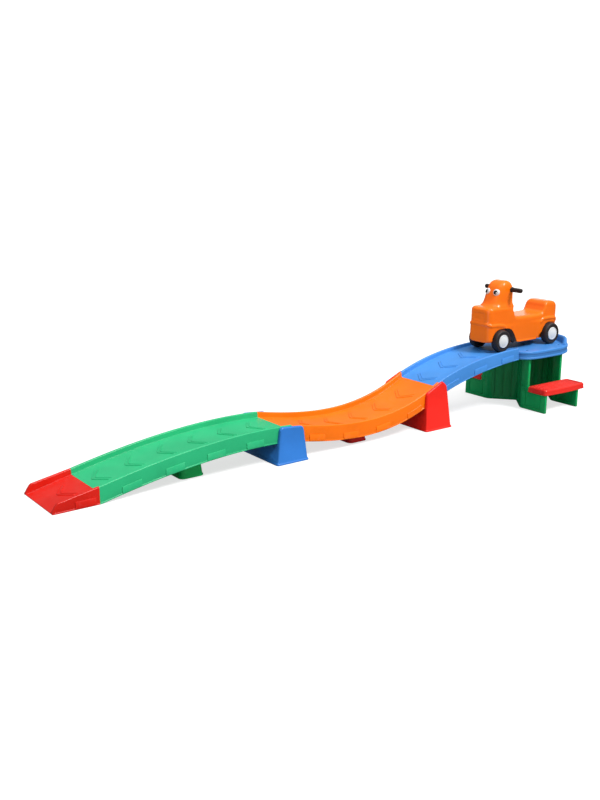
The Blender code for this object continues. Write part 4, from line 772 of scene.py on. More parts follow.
def saddle_form(x_low, x_high):
    """The space that the track's section fills, with its skirts and pads."""
    width = HALF_WIDTH + FIT
    return lofted([cross_ring(x, rectangle(-width, width, wall_bottom(x) - FIT, wall_bottom(x) - FIT + 0.3))
                   for x in spread(x_low - 0.02, x_high + 0.02, 0.008)])


def build_trestle(name, finish, foot, crown, corner):
    """A hollow support with a cheek on each side of the track and a flared base."""
    x_low, x_high = foot
    corners = [(x_low, -corner), *crown, (x_high, -corner)]
    outline = [(x_low, 0.0), *[p for p in rounded(corners, corner, 8) if p[1] > 0.02], (x_high, 0.0)]
    middle, top = (x_low + x_high) / 2, max(z for _, z in outline)
    edge = turns(*range(0, 91, 15))
    rings = []
    for side, c, s in [(-1, c, s) for c, s in edge] + [(1, c, s) for c, s in reversed(edge)]:
        drawn, inward = TRESTLE_EDGE * (1 - s), TRESTLE_EDGE * (1 - c)
        ring = []
        for x, z in outline:
            pull_x = max(-1.0, min(1.0, (x - middle) / (x_high - x_low) * 2.4))
            pull_z = max(0.0, (z - 0.5 * top) / (0.5 * top))
            ring.append(Vector((from_lip(x - pull_x * drawn),
                                side * (TRESTLE_FOOT_HALF_WIDTH - TRESTLE_TAPER * z - inward),
                                z - pull_z * drawn)))
        rings.append(ring)

    base = []
    for z, out in ((0.0, 0.0045), (0.004, 0.0045), (0.0055, 0.0038), (0.0080, 0.0016), (0.012, -0.001)):
        across = TRESTLE_FOOT_HALF_WIDTH + out
        plan = rectangle(x_low - out, x_high + out, -across, across)
        base.append(level_ring(rounded(plan, TRESTLE_EDGE + out, 6), z))

    wall = TRESTLE_WALL
    ceiling = min(wall_bottom(x) for x in spread(x_low, x_high, 0.02)) - 2 * wall
    hollow = []
    for z in (-0.001, ceiling):
        x_a = x_low + (crown[0][0] - x_low) * max(z, 0) / crown[0][1] + wall
        x_b = x_high + (crown[-1][0] - x_high) * max(z, 0) / crown[-1][1] - wall
        y = TRESTLE_FOOT_HALF_WIDTH - TRESTLE_TAPER * max(z, 0) - wall - 0.002
        hollow.append(level_ring(rounded(rectangle(x_a, x_b, -y, y), 0.005, 3), z))
    trestle = make_piece(name + "_shell", lofted(rings), finish, replaced=(name,))
    combine(trestle, joined=(lofted(base),), cut=(saddle_form(x_low, x_high), lofted(hollow)))
    soften(trestle, 0.0008, 2, 40)
    shade(trestle, 32)


def build_foot(name, finish, x_low, x_high, half_width):
    """A tapered foot with softly rounded corners, a flared base and a lid under the deck."""
    top = min(deck_top(x) for x in spread(x_low, x_high, 0.02)) - SHEET - FIT
    rings = []
    for z, out in ((top - 0.012, -0.004), (0.0005, -0.004), (0.0, -0.0030), (0.0, 0.0020), (0.0008, 0.0030),
                   (0.0045, 0.0030), (0.0065, 0.0020), (0.0090, 0.0005), (0.014, 0.0),
                   (0.35 * top, 0.0), (0.7 * top, 0.0), (top - 0.0020, 0.0), (top - 0.0005, -0.0008),
                   (top, -0.003), (top, -0.009)):
        pull = FOOT_TAPER * z - out
        half = half_width - pull
        plan = rectangle(x_low + pull, x_high - pull, -half, half)
        rings.append(level_ring(rounded(plan, FOOT_CORNER + out, 8), z))
    make_piece(name + "_shell", lofted(rings), finish, replaced=(name,))


# Supports: the folded panels under the platform

PANEL_THICKNESS, PANEL_SKIN = 0.015, 0.003
PANEL_FOLD_DEPTH, PANEL_FOLD_HALF_WIDTH, FOLD_EASED = 0.111, 0.126, 0.010
FOLD_SLOPE = PANEL_FOLD_DEPTH / PANEL_FOLD_HALF_WIDTH
PANEL_HALF_WIDTH, LEG_HALF_WIDTH = 0.171, 0.298
LEG_TOP = 0.1285
GROOVE_DEPTH = 0.0024
FRAME_ACROSS, FRAME_FOOT, FRAME_BELOW_TOP = (0.158, 0.266), 0.016, 0.014
FRAME_CORNER, FRAME_GROOVE = 0.006, 0.004
LINE_LEVELS, LINE_HEIGHT = (0.100, 0.1075, 0.115, 0.1225), 0.0034
LINE_ACROSS = (PANEL_FOLD_HALF_WIDTH + 0.004, 0.152)
UPRIGHT_SHARES, UPRIGHT_HALF_WIDTH, UPRIGHT_DEPTH = (0.22, 0.50, 0.78), 0.0038, 0.0025
UPRIGHT_FOOT, UPRIGHT_BELOW_TOP = 0.018, 0.030


def thick_path(points, half_thickness):
    """The closed outline of an open path drawn with a thick pen."""
    left, right = [], []
    for i, here in enumerate(points):
        before = Vector(here) - Vector(points[i - 1]) if i else None
        after = Vector(points[i + 1]) - Vector(here) if i < len(points) - 1 else None
        first = (before or after).normalized()
        second = (after or before).normalized()
        normal_a, normal_b = Vector((-first.y, first.x)), Vector((-second.y, second.x))
        mitre = (normal_a + normal_b).normalized()
        reach = half_thickness / mitre.dot(normal_a)
        left.append(tuple(Vector(here) + mitre * reach))
        right.append(tuple(Vector(here) - mitre * reach))
    return right + left[::-1]


def folded_form(at, half_width, half_thickness, low, high):
    """An upright panel of two straight wings and a V fold, its bends eased by short chords."""
    fold, eased = PANEL_FOLD_HALF_WIDTH, FOLD_EASED
    tip = at + PANEL_FOLD_DEPTH
    half = [(at, half_width), (at, fold + eased), (at + 0.25 * eased * FOLD_SLOPE, fold),
            (at + eased * FOLD_SLOPE, fold - eased), (tip - eased * FOLD_SLOPE, eased)]
    path = [(x, -y) for x, y in half] + [(tip - 0.45 * eased * FOLD_SLOPE, 0.0)] + half[::-1]
    outline = thick_path([(from_lip(x), y) for x, y in path], half_thickness)
    return lofted([[Vector((x, y, z)) for x, y in outline] for z in (low, high)])


def add_wing_grooves(form, at, side, face):
    """A framed recess and four level lines, cut into one face of a panel's wing and leg."""
    plane = at + face * PANEL_THICKNESS / 2
    depth = sorted((plane - face * GROOVE_DEPTH, plane + face * 0.002))
    low, high = sorted(side * y for y in FRAME_ACROSS)
    head = LEG_TOP - FRAME_BELOW_TOP
    outer, inner = (rounded(rectangle(low + g, high - g, FRAME_FOOT + g, head - g), FRAME_CORNER - g, 4)
                    for g in (0.0, FRAME_GROOVE))
    corners = ((depth[0], outer), (depth[1], outer), (depth[1], inner), (depth[0], inner))
    add_loft(form, [cross_ring(x, shape) for x, shape in corners], closed=True)
    for level in LINE_LEVELS:
        add_box(form, depth, sorted(side * y for y in LINE_ACROSS), (level, level + LINE_HEIGHT))


def add_fold_grooves(form, at, side, top):
    """Upright grooves in both faces of one side of a panel's V fold."""
    tilt = math.hypot(1.0, FOLD_SLOPE)
    square_to_fold = Vector((1.0, side * FOLD_SLOPE))
    along = Vector((-side * FOLD_SLOPE, 1.0)) / tilt * UPRIGHT_HALF_WIDTH
    out = square_to_fold / tilt * UPRIGHT_DEPTH
    for share in UPRIGHT_SHARES:
        x, y = at + PANEL_FOLD_DEPTH * share, side * PANEL_FOLD_HALF_WIDTH * (1 - share)
        for face in (-1, 1):
            middle = Vector((from_lip(x), y)) + face * PANEL_THICKNESS / 2 * square_to_fold / tilt
            plan = [middle - along - out, middle + along - out, middle + along + out, middle - along + out]
            add_loft(form, [[Vector((p.x, p.y, z)) for p in plan]
                            for z in (UPRIGHT_FOOT, top - UPRIGHT_BELOW_TOP)])


def build_support_panel(name, at):
    """A folded panel with low legs, framed recesses, and upright and level grooves."""
    top = PLATFORM_TOP - PLATFORM_WALL - FIT
    inner_half = PANEL_THICKNESS / 2 - PANEL_SKIN
    corners, grooves = bmesh.new(), bmesh.new()
    hollow = folded_form(at, PANEL_HALF_WIDTH - PANEL_SKIN, inner_half, -0.001, top - 0.025)
    for side in (-1, 1):
        beside = sorted((side * PANEL_HALF_WIDTH, side * (LEG_HALF_WIDTH + 0.01)))
        add_box(corners, (at - 0.05, at + 0.05), beside, (LEG_TOP, top + 0.01))
        for face in (-1, 1):
            add_wing_grooves(grooves, at, side, face)
        leg = sorted((side * (PANEL_HALF_WIDTH + 0.002), side * (LEG_HALF_WIDTH - PANEL_SKIN)))
        add_box(hollow, (at - inner_half, at + inner_half), leg, (-0.001, LEG_TOP - PANEL_SKIN))
    for side in (-1, 1):
        add_fold_grooves(grooves, at, side, top)
    panel = make_piece(name + "_shell", folded_form(at, LEG_HALF_WIDTH, PANEL_THICKNESS / 2, 0.0, top),
                       "panel_green", replaced=(name,))
    combine(panel, cut=(corners, grooves, hollow))
    soften(panel, 0.0012, 3, 30)
    shade(panel, 35)


# Supports: the steps

STEP_FRONT, STEP_REAR, STEP_INNER, STEP_OUTER = 2.788, 3.123, 0.1725, 0.3055
STEP_BOTTOM, STEP_TOP = 0.102, 0.134
STEP_INNER_CORNER, STEP_OUTER_CORNER = 0.014, 0.018
STEP_BOW = 0.007        # how far the outer edge bulges beyond its ends
STEP_FOOT_LEVELS = (  # height above the step's bottom, inset
    (0.014, 0.0045), (0.0, 0.0040), (0.0, 0.0012), (0.0010, 0.0002), (0.0040, 0.0), (0.0060, 0.0005),
    (0.0075, 0.0014))
STEP_RIM_LEVELS = (  # depth below the step's top, inset
    (0.0090, 0.0020), (0.0060, 0.0030), (0.0034, 0.0050), (0.0014, 0.0080), (0.0003, 0.0115), (0.0, 0.0145),
    (0.0004, 0.0170), (0.0030, 0.0188), (0.0042, 0.0215))
STEP_RIBS, STEP_RIB_HALF_WIDTH, STEP_RIB_RISE, STEP_RIB_SUNK = 5, 0.0056, 0.0036, 0.0044
STEP_RIB_MARGIN, STEP_RIB_END_MARGIN = (0.030, 0.024), 0.028
STEP_RIB_PROFILE = ((-1, 0), (-0.8, 0.6), (-0.4, 0.95), (0, 1.0), (0.4, 0.95), (0.8, 0.6), (1, 0))


def step_outline(side, inset):
    """Plan of a step tread, with a bowed outer edge and rounded corners."""
    front, rear = STEP_FRONT + inset, STEP_REAR - inset
    inner, outer = STEP_INNER + inset, STEP_OUTER - inset
    radius = max(STEP_INNER_CORNER - 0.5 * inset, 0.003)
    turn = max(STEP_OUTER_CORNER - 0.7 * inset, 0.008)
    points = arc((front + radius, inner + radius), radius, 270, 180, 8)
    points += arc((front + turn, outer - turn), turn, 180, 90, 12)
    for k in range(1, 24):
        share = k / 24
        points.append((front + turn + (rear - front - 2 * turn) * share,
                       outer + STEP_BOW * math.sin(math.pi * share)))
    points += arc((rear - turn, outer - turn), turn, 90, 0, 12)
    points += arc((rear - radius, inner + radius), radius, 360, 270, 8)
    return [(x, side * y) for x, y in points]


def build_step(name, side):
    """A step tread: a hollow cap with a rolled rim and a ribbed, slightly sunk top."""
    levels = [(STEP_TOP - 0.0055, 0.012), (STEP_TOP - 0.006, 0.0065)]
    levels += [(STEP_BOTTOM + above, inset) for above, inset in STEP_FOOT_LEVELS]
    levels += [(STEP_TOP - below, inset) for below, inset in STEP_RIM_LEVELS]
    cap = lofted([level_ring(step_outline(side, inset), z) for z, inset in levels])
    make_piece(name + "_cap", cap, "step_red", replaced=(name,))
    low, high = STEP_INNER + STEP_RIB_MARGIN[0], STEP_OUTER - STEP_RIB_MARGIN[1]
    start, end = STEP_FRONT + STEP_RIB_END_MARGIN, STEP_REAR - STEP_RIB_END_MARGIN
    ribs = bmesh.new()
    for k in range(STEP_RIBS):
        middle = low + (high - low) * k / (STEP_RIBS - 1)
        rings = []
        for x, tall in ((start, 0.15), (start + 0.0008, 0.7), (start + 0.003, 1.0),
                        (end - 0.003, 1.0), (end - 0.0008, 0.7), (end, 0.15)):
            rings.append(cross_ring(x, [(side * (middle + STEP_RIB_HALF_WIDTH * across),
                                         STEP_TOP - STEP_RIB_SUNK + STEP_RIB_RISE * rise * tall)
                                        for across, rise in STEP_RIB_PROFILE]))
        add_loft(ribs, rings)
    make_piece(name + "_ribs", ribs, "step_red")


# Car: body

BODY_FRONT, BODY_REAR, BODY_BOTTOM, BODY_HALF_WIDTH = 2.562, 3.128, 0.366, 0.0755
FENDER_PROUD, FENDER_LEAST, FENDER_TOP = 0.004, 0.0005, 0.470
FRONT_FENDER_FADE, REAR_FENDER_FADE = (0.060, 0.050), (0.070, 0.045)    # distance from the axle, length
FRONT_LIFT, REAR_LIFT = 0.018, 0.020
HOOD_TOP, HOOD_END = 0.575, 2.752
SEAT_START, SEAT_TOP, SEAT_END = 2.780, 0.512, 3.004
BOX_START, BOX_TOP = 3.034, 0.573
CROWN = 0.019
FRONT_CORNER = 0.031
BODY_WALL = 0.004
WELL_INNER, WELL_RADIUS = 0.060, 0.066
FRONT_WELL_REACH, REAR_WELL_REACH = (0.067, 0.141), (0.100, 0.075)      # ahead of and behind the axle
FRONT_WELL_TAIL = (  # behind and above the front axle: the arch's long rear end
    (0.030, 0.0655), (0.054, 0.0640), (0.074, 0.0600), (0.090, 0.0520), (0.103, 0.0400), (0.114, 0.0250),
    (0.124, 0.0080), (0.134, -0.0100))
GRILLE, GRILLE_CORNER, GRILLE_DEPTH = ((-0.040, 0.040), (0.503, 0.547)), 0.006, 0.0028
AXLE_BORE, BAR_BORE = 0.0053, 0.0063
MELT_SIZE, MELT_SMOOTHING = 0.0024, 8
HEAD_TOP = 0.711
HEAD_LEVELS = (  # height, front, half width, rear
    (0.513, 2.606, 0.060, 2.785), (0.528, 2.606, 0.062, 2.777), (0.545, 2.606, 0.064, 2.7705),
    (0.560, 2.606, 0.067, 2.7665), (0.572, 2.606, 0.070, 2.765), (0.576, 2.612, 0.0685, 2.764),
    (0.581, 2.618, 0.0660, 2.763), (0.588, 2.6245, 0.0632, 2.762), (0.597, 2.6290, 0.0612, 2.762),
    (0.606, 2.6330, 0.060, 2.762), (0.625, 2.6400, 0.060, 2.762), (0.642, 2.6462, 0.060, 2.762),
    (0.655, 2.6515, 0.0596, 2.762), (0.668, 2.657, 0.0588, 2.7605), (0.680, 2.663, 0.0574, 2.757),
    (0.690, 2.670, 0.0550, 2.753), (0.698, 2.678, 0.0515, 2.749), (0.704, 2.686, 0.0465, 2.745),
    (0.709, 2.696, 0.0395, 2.738), (HEAD_TOP, 2.704, 0.033, 2.730))
HEAD_POWER = 3.0        # how square the head's front corners are
HEAD_GROOVE = ((2.7265, 0.0630, 0.637), (2.7090, 0.0645, 0.598))
HEAD_GROOVE_RADIUS = 0.0058
EYE_TURN, EYE_TILT = math.radians(20), 0.30
EYE_SEAT = (2.6584, 0.030, 0.650)
EYE_RADIUS = 0.0185
BAR_AT, BAR_HEIGHT = 2.744, 0.6625


def body_section(x, half_width, fender, bottom, top, crown):
    """A cross-section of the car's body: fender sides below, body sides and rounded top above."""
    foot = min(0.012, half_width * 0.3)
    half = [(half_width + fender - back * foot, bottom + up * foot)
            for back, up in ((1, 0), (0.6, 0.1), (0.2, 0.45), (0, 1))]
    half += [(half_width + share * fender, FENDER_TOP + up)
             for share, up in ((1, -0.006), (0.7, -0.002), (0.2, 0.002), (0, 0.006))]
    half += [(half_width - crown * (1 - c), top - crown * (1 - s)) for c, s in turns(*range(0, 91, 15))]
    return cross_ring(x, mirrored(half))


def body_rows(inset):
    """Place, half width, top and crown radius of each section of the body, drawn in by inset."""
    front, rear = BODY_FRONT + inset, BODY_REAR - inset
    hood, seat, box = HOOD_TOP - inset, SEAT_TOP - inset, BOX_TOP - inset
    wide = BODY_HALF_WIDTH - inset
    rows = [(front + FRONT_CORNER * (1 - c), wide - FRONT_CORNER * (1 - s), hood - 0.014 * (1 - s), CROWN)
            for c, s in turns(*range(0, 91, 10))]
    rows.append((2.660, wide, hood, CROWN))
    rows += [(start + behind - inset, wide, height, CROWN) for start, behind, height in (
        (HOOD_END, -0.014, hood - 0.001), (HOOD_END, -0.004, hood - 0.006),
        (HOOD_END, 0.003, hood - 0.020), (HOOD_END, 0.012, seat + 0.022),
        (SEAT_START, -0.008, seat + 0.007), (SEAT_START, 0.004, seat + 0.001))]
    rows += [(x, wide, seat - lower, CROWN) for x, lower in (
        (SEAT_START + 0.040, 0.002), (2.890, 0.003), (SEAT_END - 0.040, 0.002))]
    rows += [(SEAT_END + behind + inset, wide, seat + higher, CROWN) for behind, higher in (
        (-0.010, 0.001), (0.002, 0.008), (0.012, 0.028))]
    rows += [(BOX_START - 0.012 + inset, wide - 0.001, box - 0.016, 0.018),
             (BOX_START - 0.003 + inset, wide - 0.002, box - 0.005, CROWN),
             (BOX_START + 0.010 + inset, wide - 0.003, box, CROWN),
             (BOX_START + 0.030, wide - 0.003, box, CROWN)]
    rows += [(rear - ahead, wide - drawn, box - lower, crown) for ahead, drawn, lower, crown in (
        (0.045, 0.003, 0.002, 0.019), (0.030, 0.004, 0.004, 0.019), (0.020, 0.005, 0.008, 0.019),
        (0.012, 0.008, 0.014, 0.018), (0.006, 0.012, 0.025, 0.017), (0.002, 0.018, 0.039, 0.015),
        (0.0, 0.026, 0.053, 0.013))]
    return rows


def fender_at(x):
    """How far the fenders stand out from the body's side at x."""
    past_front = (x - FRONT_AXLE_AT - FRONT_FENDER_FADE[0]) / FRONT_FENDER_FADE[1]
    past_rear = (REAR_AXLE_AT - REAR_FENDER_FADE[0] - x) / REAR_FENDER_FADE[1]
    share = max(0.0, min(1.0, past_front, past_rear))
    return FENDER_PROUD + (FENDER_LEAST - FENDER_PROUD) * share * share * (3 - 2 * share)


def lift_at(x):
    """How far the body's lower edge rises towards its front and rear ends."""
    if x < FRONT_AXLE_AT:
        return FRONT_LIFT
    return REAR_LIFT if x > REAR_AXLE_AT - 0.02 else 0.0


def head_rings(inset):
    """Plan sections of the head block, from inside the hood up to its rounded top."""
    rings = []
    for z, front, half_width, rear in HEAD_LEVELS:
        height = z - inset if z > HOOD_TOP + 0.01 else z + 0.5 * inset * (z < HOOD_TOP)
        a, b, w = front + inset, rear - inset, half_width - inset
        if w < 0.004 or b - a < 0.012:
            continue
        turn = min(w, (b - a) * 0.55)
        plan = []
        for k in range(-18, 19):
            angle = math.radians(5 * k)
            ahead = abs(math.cos(angle))**(2 / HEAD_POWER)
            across = abs(math.sin(angle))**(2 / HEAD_POWER)
            plan.append((a + turn - turn * ahead, math.copysign(w * across, angle)))
        corner = min(0.012, 0.3 * w, 0.3 * (b - a))
        plan += arc((b - corner, w - corner), corner, 90, 0, 5)
        plan += arc((b - corner, corner - w), corner, 0, -90, 5)
        rings.append(level_ring(plan, height))
    return rings


def smooth_path(points):
    """Points on a smooth curve through points given from the lip."""
    points = [Vector((from_lip(x), y, z)) for x, y, z in points]
    pieces = 5          # steps from one given point to the next
    found = []
    for i in range(len(points) - 1):
        a, b = points[max(i - 1, 0)], points[i]
        c, d = points[i + 1], points[min(i + 2, len(points) - 1)]
        for k in range(pieces):
            t = k / pieces
            found.append(0.5 * ((2 * b) + (c - a) * t + (2 * a - 5 * b + 4 * c - d) * t**2
                                + (3 * b - a - 3 * c + d) * t**3))
    return found + [points[-1]]


def bead_rings(points, radius, flatness):
    """A bead along a smooth path, taller than it is deep where flatness is under one."""
    path = smooth_path(points)
    rings = []
    for i, here in enumerate(path):
        along = (path[min(i + 1, len(path) - 1)] - path[max(i - 1, 0)]).normalized()
        side = along.cross(Vector((0, 0, 1))).normalized()
        rise = side.cross(along)
        size = radius * (0.55, 0.85, 1.0)[min(i, len(path) - 1 - i, 2)]
        rings.append([here + size * (c * side * flatness + s * rise) for c, s in circle(14)])
    return rings


def across_both(half):
    """A path of (x, y, z) points on one side of the car, and back along the other side."""
    return half + [(x, -y, z) for x, y, z in reversed(half)]


def front_bead_points():
    """The bumper bead: round the front and back along both front fenders, its ends turned down."""
    wide, turn, front = BODY_HALF_WIDTH + 0.5 * FENDER_PROUD, 0.028, BODY_FRONT + 0.0015
    half = [(2.699, wide + 0.0005, 0.449), (2.694, wide, 0.456), (2.684, wide, 0.465), (2.664, wide, 0.471),
            (2.632, wide, 0.475)]
    angles = (90, 65, 40, 15, 0)
    half += [(front + turn * (1 - c), wide - turn * (1 - s), 0.484 - 0.008 * angle / 90)
             for angle, (c, s) in zip(angles, turns(*angles))]
    return across_both(half)


def rear_bead_points():
    """The bead over the rear fenders and across the back, its front ends turned down."""
    wide = BODY_HALF_WIDTH + 0.4 * FENDER_PROUD
    half = [(2.984, wide + 0.0005, 0.454), (2.989, wide, 0.464), (3.000, wide, 0.473), (3.018, wide, 0.4765),
            (REAR_AXLE_AT + 0.024, wide - 0.003, 0.4755)]
    half += [(BODY_REAR - 0.024 * (1 - c) - 0.003, wide - 0.003 - 0.028 * (1 - s), height)
             for height, (c, s) in zip((0.472, 0.463, 0.452, 0.448), turns(80, 55, 25, 0))]
    return across_both(half)


def lower_bead_points(side):
    """The bead along the body's lower edge, between the wheel arches."""
    return [(x, side * (BODY_HALF_WIDTH + 0.0005), z) for x, z in (
        (2.792, 0.3735), (2.800, 0.3705), (2.815, 0.3700), (2.880, 0.3700), (2.940, 0.3700), (2.950, 0.3720))]


def arch_over(at, front_reach):
    """The front part of a wheel arch's side view, up to the top of the wheel."""
    low = BODY_BOTTOM - 0.02
    return [(at - front_reach, low), (at - front_reach, BODY_BOTTOM + 0.008),
            *arc((at, AXLE_HEIGHT), WELL_RADIUS, 165, 90, 20)]


def front_tail():
    """The long rear end of the front wheel arches, eased down to the body's lower edge."""
    return [(FRONT_AXLE_AT + behind, AXLE_HEIGHT + above) for behind, above in FRONT_WELL_TAIL]


def well_outlines():
    """The side views of the front and the rear wheel arches, with eased flared ends."""
    low, crest = BODY_BOTTOM - 0.02, AXLE_HEIGHT + WELL_RADIUS
    front_end, rear_end = FRONT_AXLE_AT + FRONT_WELL_REACH[1], REAR_AXLE_AT + REAR_WELL_REACH[1]
    return ([*arch_over(FRONT_AXLE_AT, FRONT_WELL_REACH[0]), *front_tail(), (front_end, BODY_BOTTOM),
             (front_end, low)],
            [*arch_over(REAR_AXLE_AT, REAR_WELL_REACH[0]), (REAR_AXLE_AT + 0.03, crest - 0.003),
             (rear_end, crest - 0.012), (rear_end, low)])


def groove_rings(side_of_head):
    """The straight round-ended bar that cuts the soft groove in a side of the head."""
    start, end = (Vector((from_lip(x), side_of_head * y, z)) for x, y, z in HEAD_GROOVE)
    radius = HEAD_GROOVE_RADIUS
    along = (end - start).normalized()
    side = along.orthogonal().normalized()
    other = along.cross(side)
    rings = []
    for centre, angles in ((start, range(-90, 1, 15)), (end, range(0, 91, 15))):
        for c, s in turns(*angles):
            place = centre + along * radius * s
            size = max(radius * c, 0.0002)
            rings.append([place + size * (a * side + b * other) for a, b in circle(16)])
    return rings


def eye_rings(side, profile, segments, shift=(0.0, 0.0)):
    """A profile of (radius, height) points turned about an eye's own axis."""
    out = Vector((-math.cos(EYE_TURN), side * math.sin(EYE_TURN), EYE_TILT)).normalized()
    across = out.cross(Vector((0, 0, 1))).normalized()
    rise = across.cross(out)
    seat = Vector((from_lip(EYE_SEAT[0]), side * EYE_SEAT[1], EYE_SEAT[2]))
    seat = seat + across * shift[0] + rise * shift[1]
    return [[seat + out * height + radius * (c * across + s * rise) for c, s in circle(segments)]
            for radius, height in profile]


def body_hollow_rings():
    """The space inside the body, kept away from the wheel arches."""
    rings = []
    for x, wide, top, _ in body_rows(BODY_WALL):
        near_well = x < FRONT_AXLE_AT + 0.150 or x > REAR_AXLE_AT - 0.110
        y = min(wide, WELL_INNER - BODY_WALL) if near_well else wide
        high = top - 0.001
        rings.append(cross_ring(x, mirrored([(y, BODY_BOTTOM - 0.01), (y, high - 0.014), (y - 0.012, high)])))
    return rings


def build_car_body():
    """The blow-moulded shell: hood, saddle, rear box and head, melted together and then cut."""
    rings = [body_section(x, wide, fender_at(x), BODY_BOTTOM + lift_at(x), top, crown)
             for x, wide, top, crown in body_rows(0.0)]
    body = make_piece("car_shell", lofted(rings), "car_orange", CAR, ("car_body",))
    front_and_lower_beads = lofted(bead_rings(front_bead_points(), 0.0095, 0.55),
                                   *(bead_rings(lower_bead_points(side), 0.0050, 0.8) for side in (-1, 1)))
    rear_bead = lofted(bead_rings(rear_bead_points(), 0.0092, 0.62))
    grooves = lofted(*(groove_rings(side) for side in (-1, 1)))
    grille_outline = rounded(rectangle(*GRILLE[0], *GRILLE[1]), GRILLE_CORNER, 5)
    grille = lofted([cross_ring(x, grille_outline) for x in (BODY_FRONT - 0.01, BODY_FRONT + GRILLE_DEPTH)])
    combine(body, joined=(lofted(head_rings(0.0)), front_and_lower_beads, rear_bead), cut=(grooves, grille))
    melt = body.modifiers.new("melt", "REMESH")
    melt.mode = "VOXEL"
    melt.voxel_size = MELT_SIZE
    even = body.modifiers.new("even", "SMOOTH")
    even.factor = 0.5
    even.iterations = MELT_SMOOTHING
    apply_modifiers(body)

    wells = lofted(*([[Vector((from_lip(x), side * y, z)) for x, z in outline]
                      for y in (WELL_INNER, BODY_HALF_WIDTH + 0.03)]
                     for outline in well_outlines() for side in (-1, 1)))
    bores = bmesh.new()
    for at, height, radius in ((FRONT_AXLE_AT, AXLE_HEIGHT, AXLE_BORE),
                               (REAR_AXLE_AT, AXLE_HEIGHT, AXLE_BORE), (BAR_AT, BAR_HEIGHT, BAR_BORE)):
        add_turned(bores, [(radius, -0.1), (radius, 0.1)], 24, (from_lip(at), 0.0, height))
    pocket = [(EYE_RADIUS + FIT, 0.0), (EYE_RADIUS + FIT, 0.02)]
    pockets = lofted(*(eye_rings(side, pocket, 64) for side in (-1, 1)))
    combine(body, cut=(wells, lofted(body_hollow_rings()), lofted(head_rings(2 * BODY_WALL)), bores, pockets))
    shade(body, 38)


def build_arch_shade_liners():
    """A black strip that lines the rear part of each front wheel arch; its darkness is partly painted shade
    inside the arch.
    """
    lined = [*arch_over(FRONT_AXLE_AT, FRONT_WELL_REACH[0])[8:], *front_tail()]
    out, hidden = BODY_HALF_WIDTH + 0.0005, WELL_INNER + 0.0006
    rows = []
    for side in (-1, 1):
        rings = []
        for k, (x, z) in enumerate(lined):
            before, after = Vector(lined[max(k - 1, 0)]), Vector(lined[min(k + 1, len(lined) - 1)])
            along = (after - before).normalized()
            inward = Vector((along.y, -along.x))
            depth = 0.0022 + 0.0270 * max(0.0, min(1.0, (x - FRONT_AXLE_AT - 0.030) / 0.060))
            place, deep = Vector((x, z)) + inward * 0.0003, Vector((x, z)) + inward * depth
            rings.append([Vector((from_lip(p.x), side * y, p.y)) for p, y in (
                (place, hidden), (place, out - 0.001), (place.lerp(deep, 0.12), out),
                (place.lerp(deep, 0.85), out), (deep, out - 0.002), (deep, hidden))])
        rows.append(rings)
    # painted shade in part: the black strip stands for the shade inside the front wheel arches
    make_piece("front_arch_shade_liners", lofted(*rows), "arch_black", CAR)


# Car: wheels, eyes and handlebar

TYRE_SHOULDER, TYRE_SHOULDER_RISE = 0.0085, 0.0080
HUB_PROFILE = (  # radius, height above the tyre's outer face
    (0.004, -0.0036), (0.0362, -0.0036), (0.0355, 0.0002), (0.0350, 0.0014), (0.0340, 0.0024),
    (0.0326, 0.0028), (0.0310, 0.0026), (0.0300, 0.0018), (0.0290, 0.0016), (0.0270, 0.0022),
    (0.0220, 0.0034), (0.0150, 0.0045), (0.0080, 0.0053), (0.0020, 0.0055))
PUPIL_SHIFT = (0.0028, -0.001)
PUPIL_PROFILE = ((0.0108, 0.0070), (0.0115, 0.0092), (0.0114, 0.0104), (0.0106, 0.0115), (0.0082, 0.0126),
                 (0.0044, 0.0133), (0.0010, 0.0135))
GLINT_SHIFT = (0.0058, 0.0032)
GLINT_PROFILE = ((0.0038, 0.0110), (0.0038, 0.0128), (0.0030, 0.0136), (0.0012, 0.0140))
GRIP_START, GRIP_END, GRIP_RADIUS, GRIP_ROUND, GRIP_RIBS = 0.0615, 0.133, 0.0120, 0.0075, 10


def build_wheel(ending, at, side):
    """A tyre with rounded shoulders and a rim step, and its domed hub cap with a faint ring."""
    centre = (from_lip(at), 0.0, AXLE_HEIGHT)
    r, low, high = WHEEL_RADIUS, WHEEL_INNER, WHEEL_OUTER
    shoulder = [(r - TYRE_SHOULDER + TYRE_SHOULDER_RISE * s, TYRE_SHOULDER * (1 - c))
                for c, s in turns(20, 40, 60, 80)]
    tyre = [(radius, low + in_from) for radius, in_from in (
        (AXLE_BORE, 0.0), (0.016, 0.0), (0.016, 0.018), (0.046, 0.018), (0.047, 0.004), (0.049, 0.0),
        (r - TYRE_SHOULDER, 0.0), *shoulder, (r - 0.0002, 0.011), (r, 0.017), (r - 0.0006, 0.0192),
        (r - 0.0006, 0.0208))]
    tyre += [(radius, high - in_from) for radius, in_from in (
        (r, 0.017), (r - 0.0002, 0.011), *reversed(shoulder), (r - TYRE_SHOULDER, 0.0), (r - 0.0140, 0.0003),
        (r - 0.0152, 0.0012), (r - 0.0180, 0.0014), (r - 0.0194, 0.0005), (0.0385, 0.0002), (0.0372, 0.0010),
        (0.0368, 0.004), (0.013, 0.004), (0.013, 0.014), (AXLE_BORE, 0.014))]
    hub = [(radius, high + out) for radius, out in HUB_PROFILE]
    for name, profile, finish, node, closed, sharp in (
            ("tyre_", tyre, "tyre_black", "wheel_", True, 40),
            ("hub_", hub, "hub_white", "hub_cap_", False, 50)):
        form = bmesh.new()
        add_turned(form, [(radius, side * y) for radius, y in profile], 96, closed=closed)
        make_piece(name + ending, form, finish, ending + "_wheel", (node + ending,), centre, sharp)


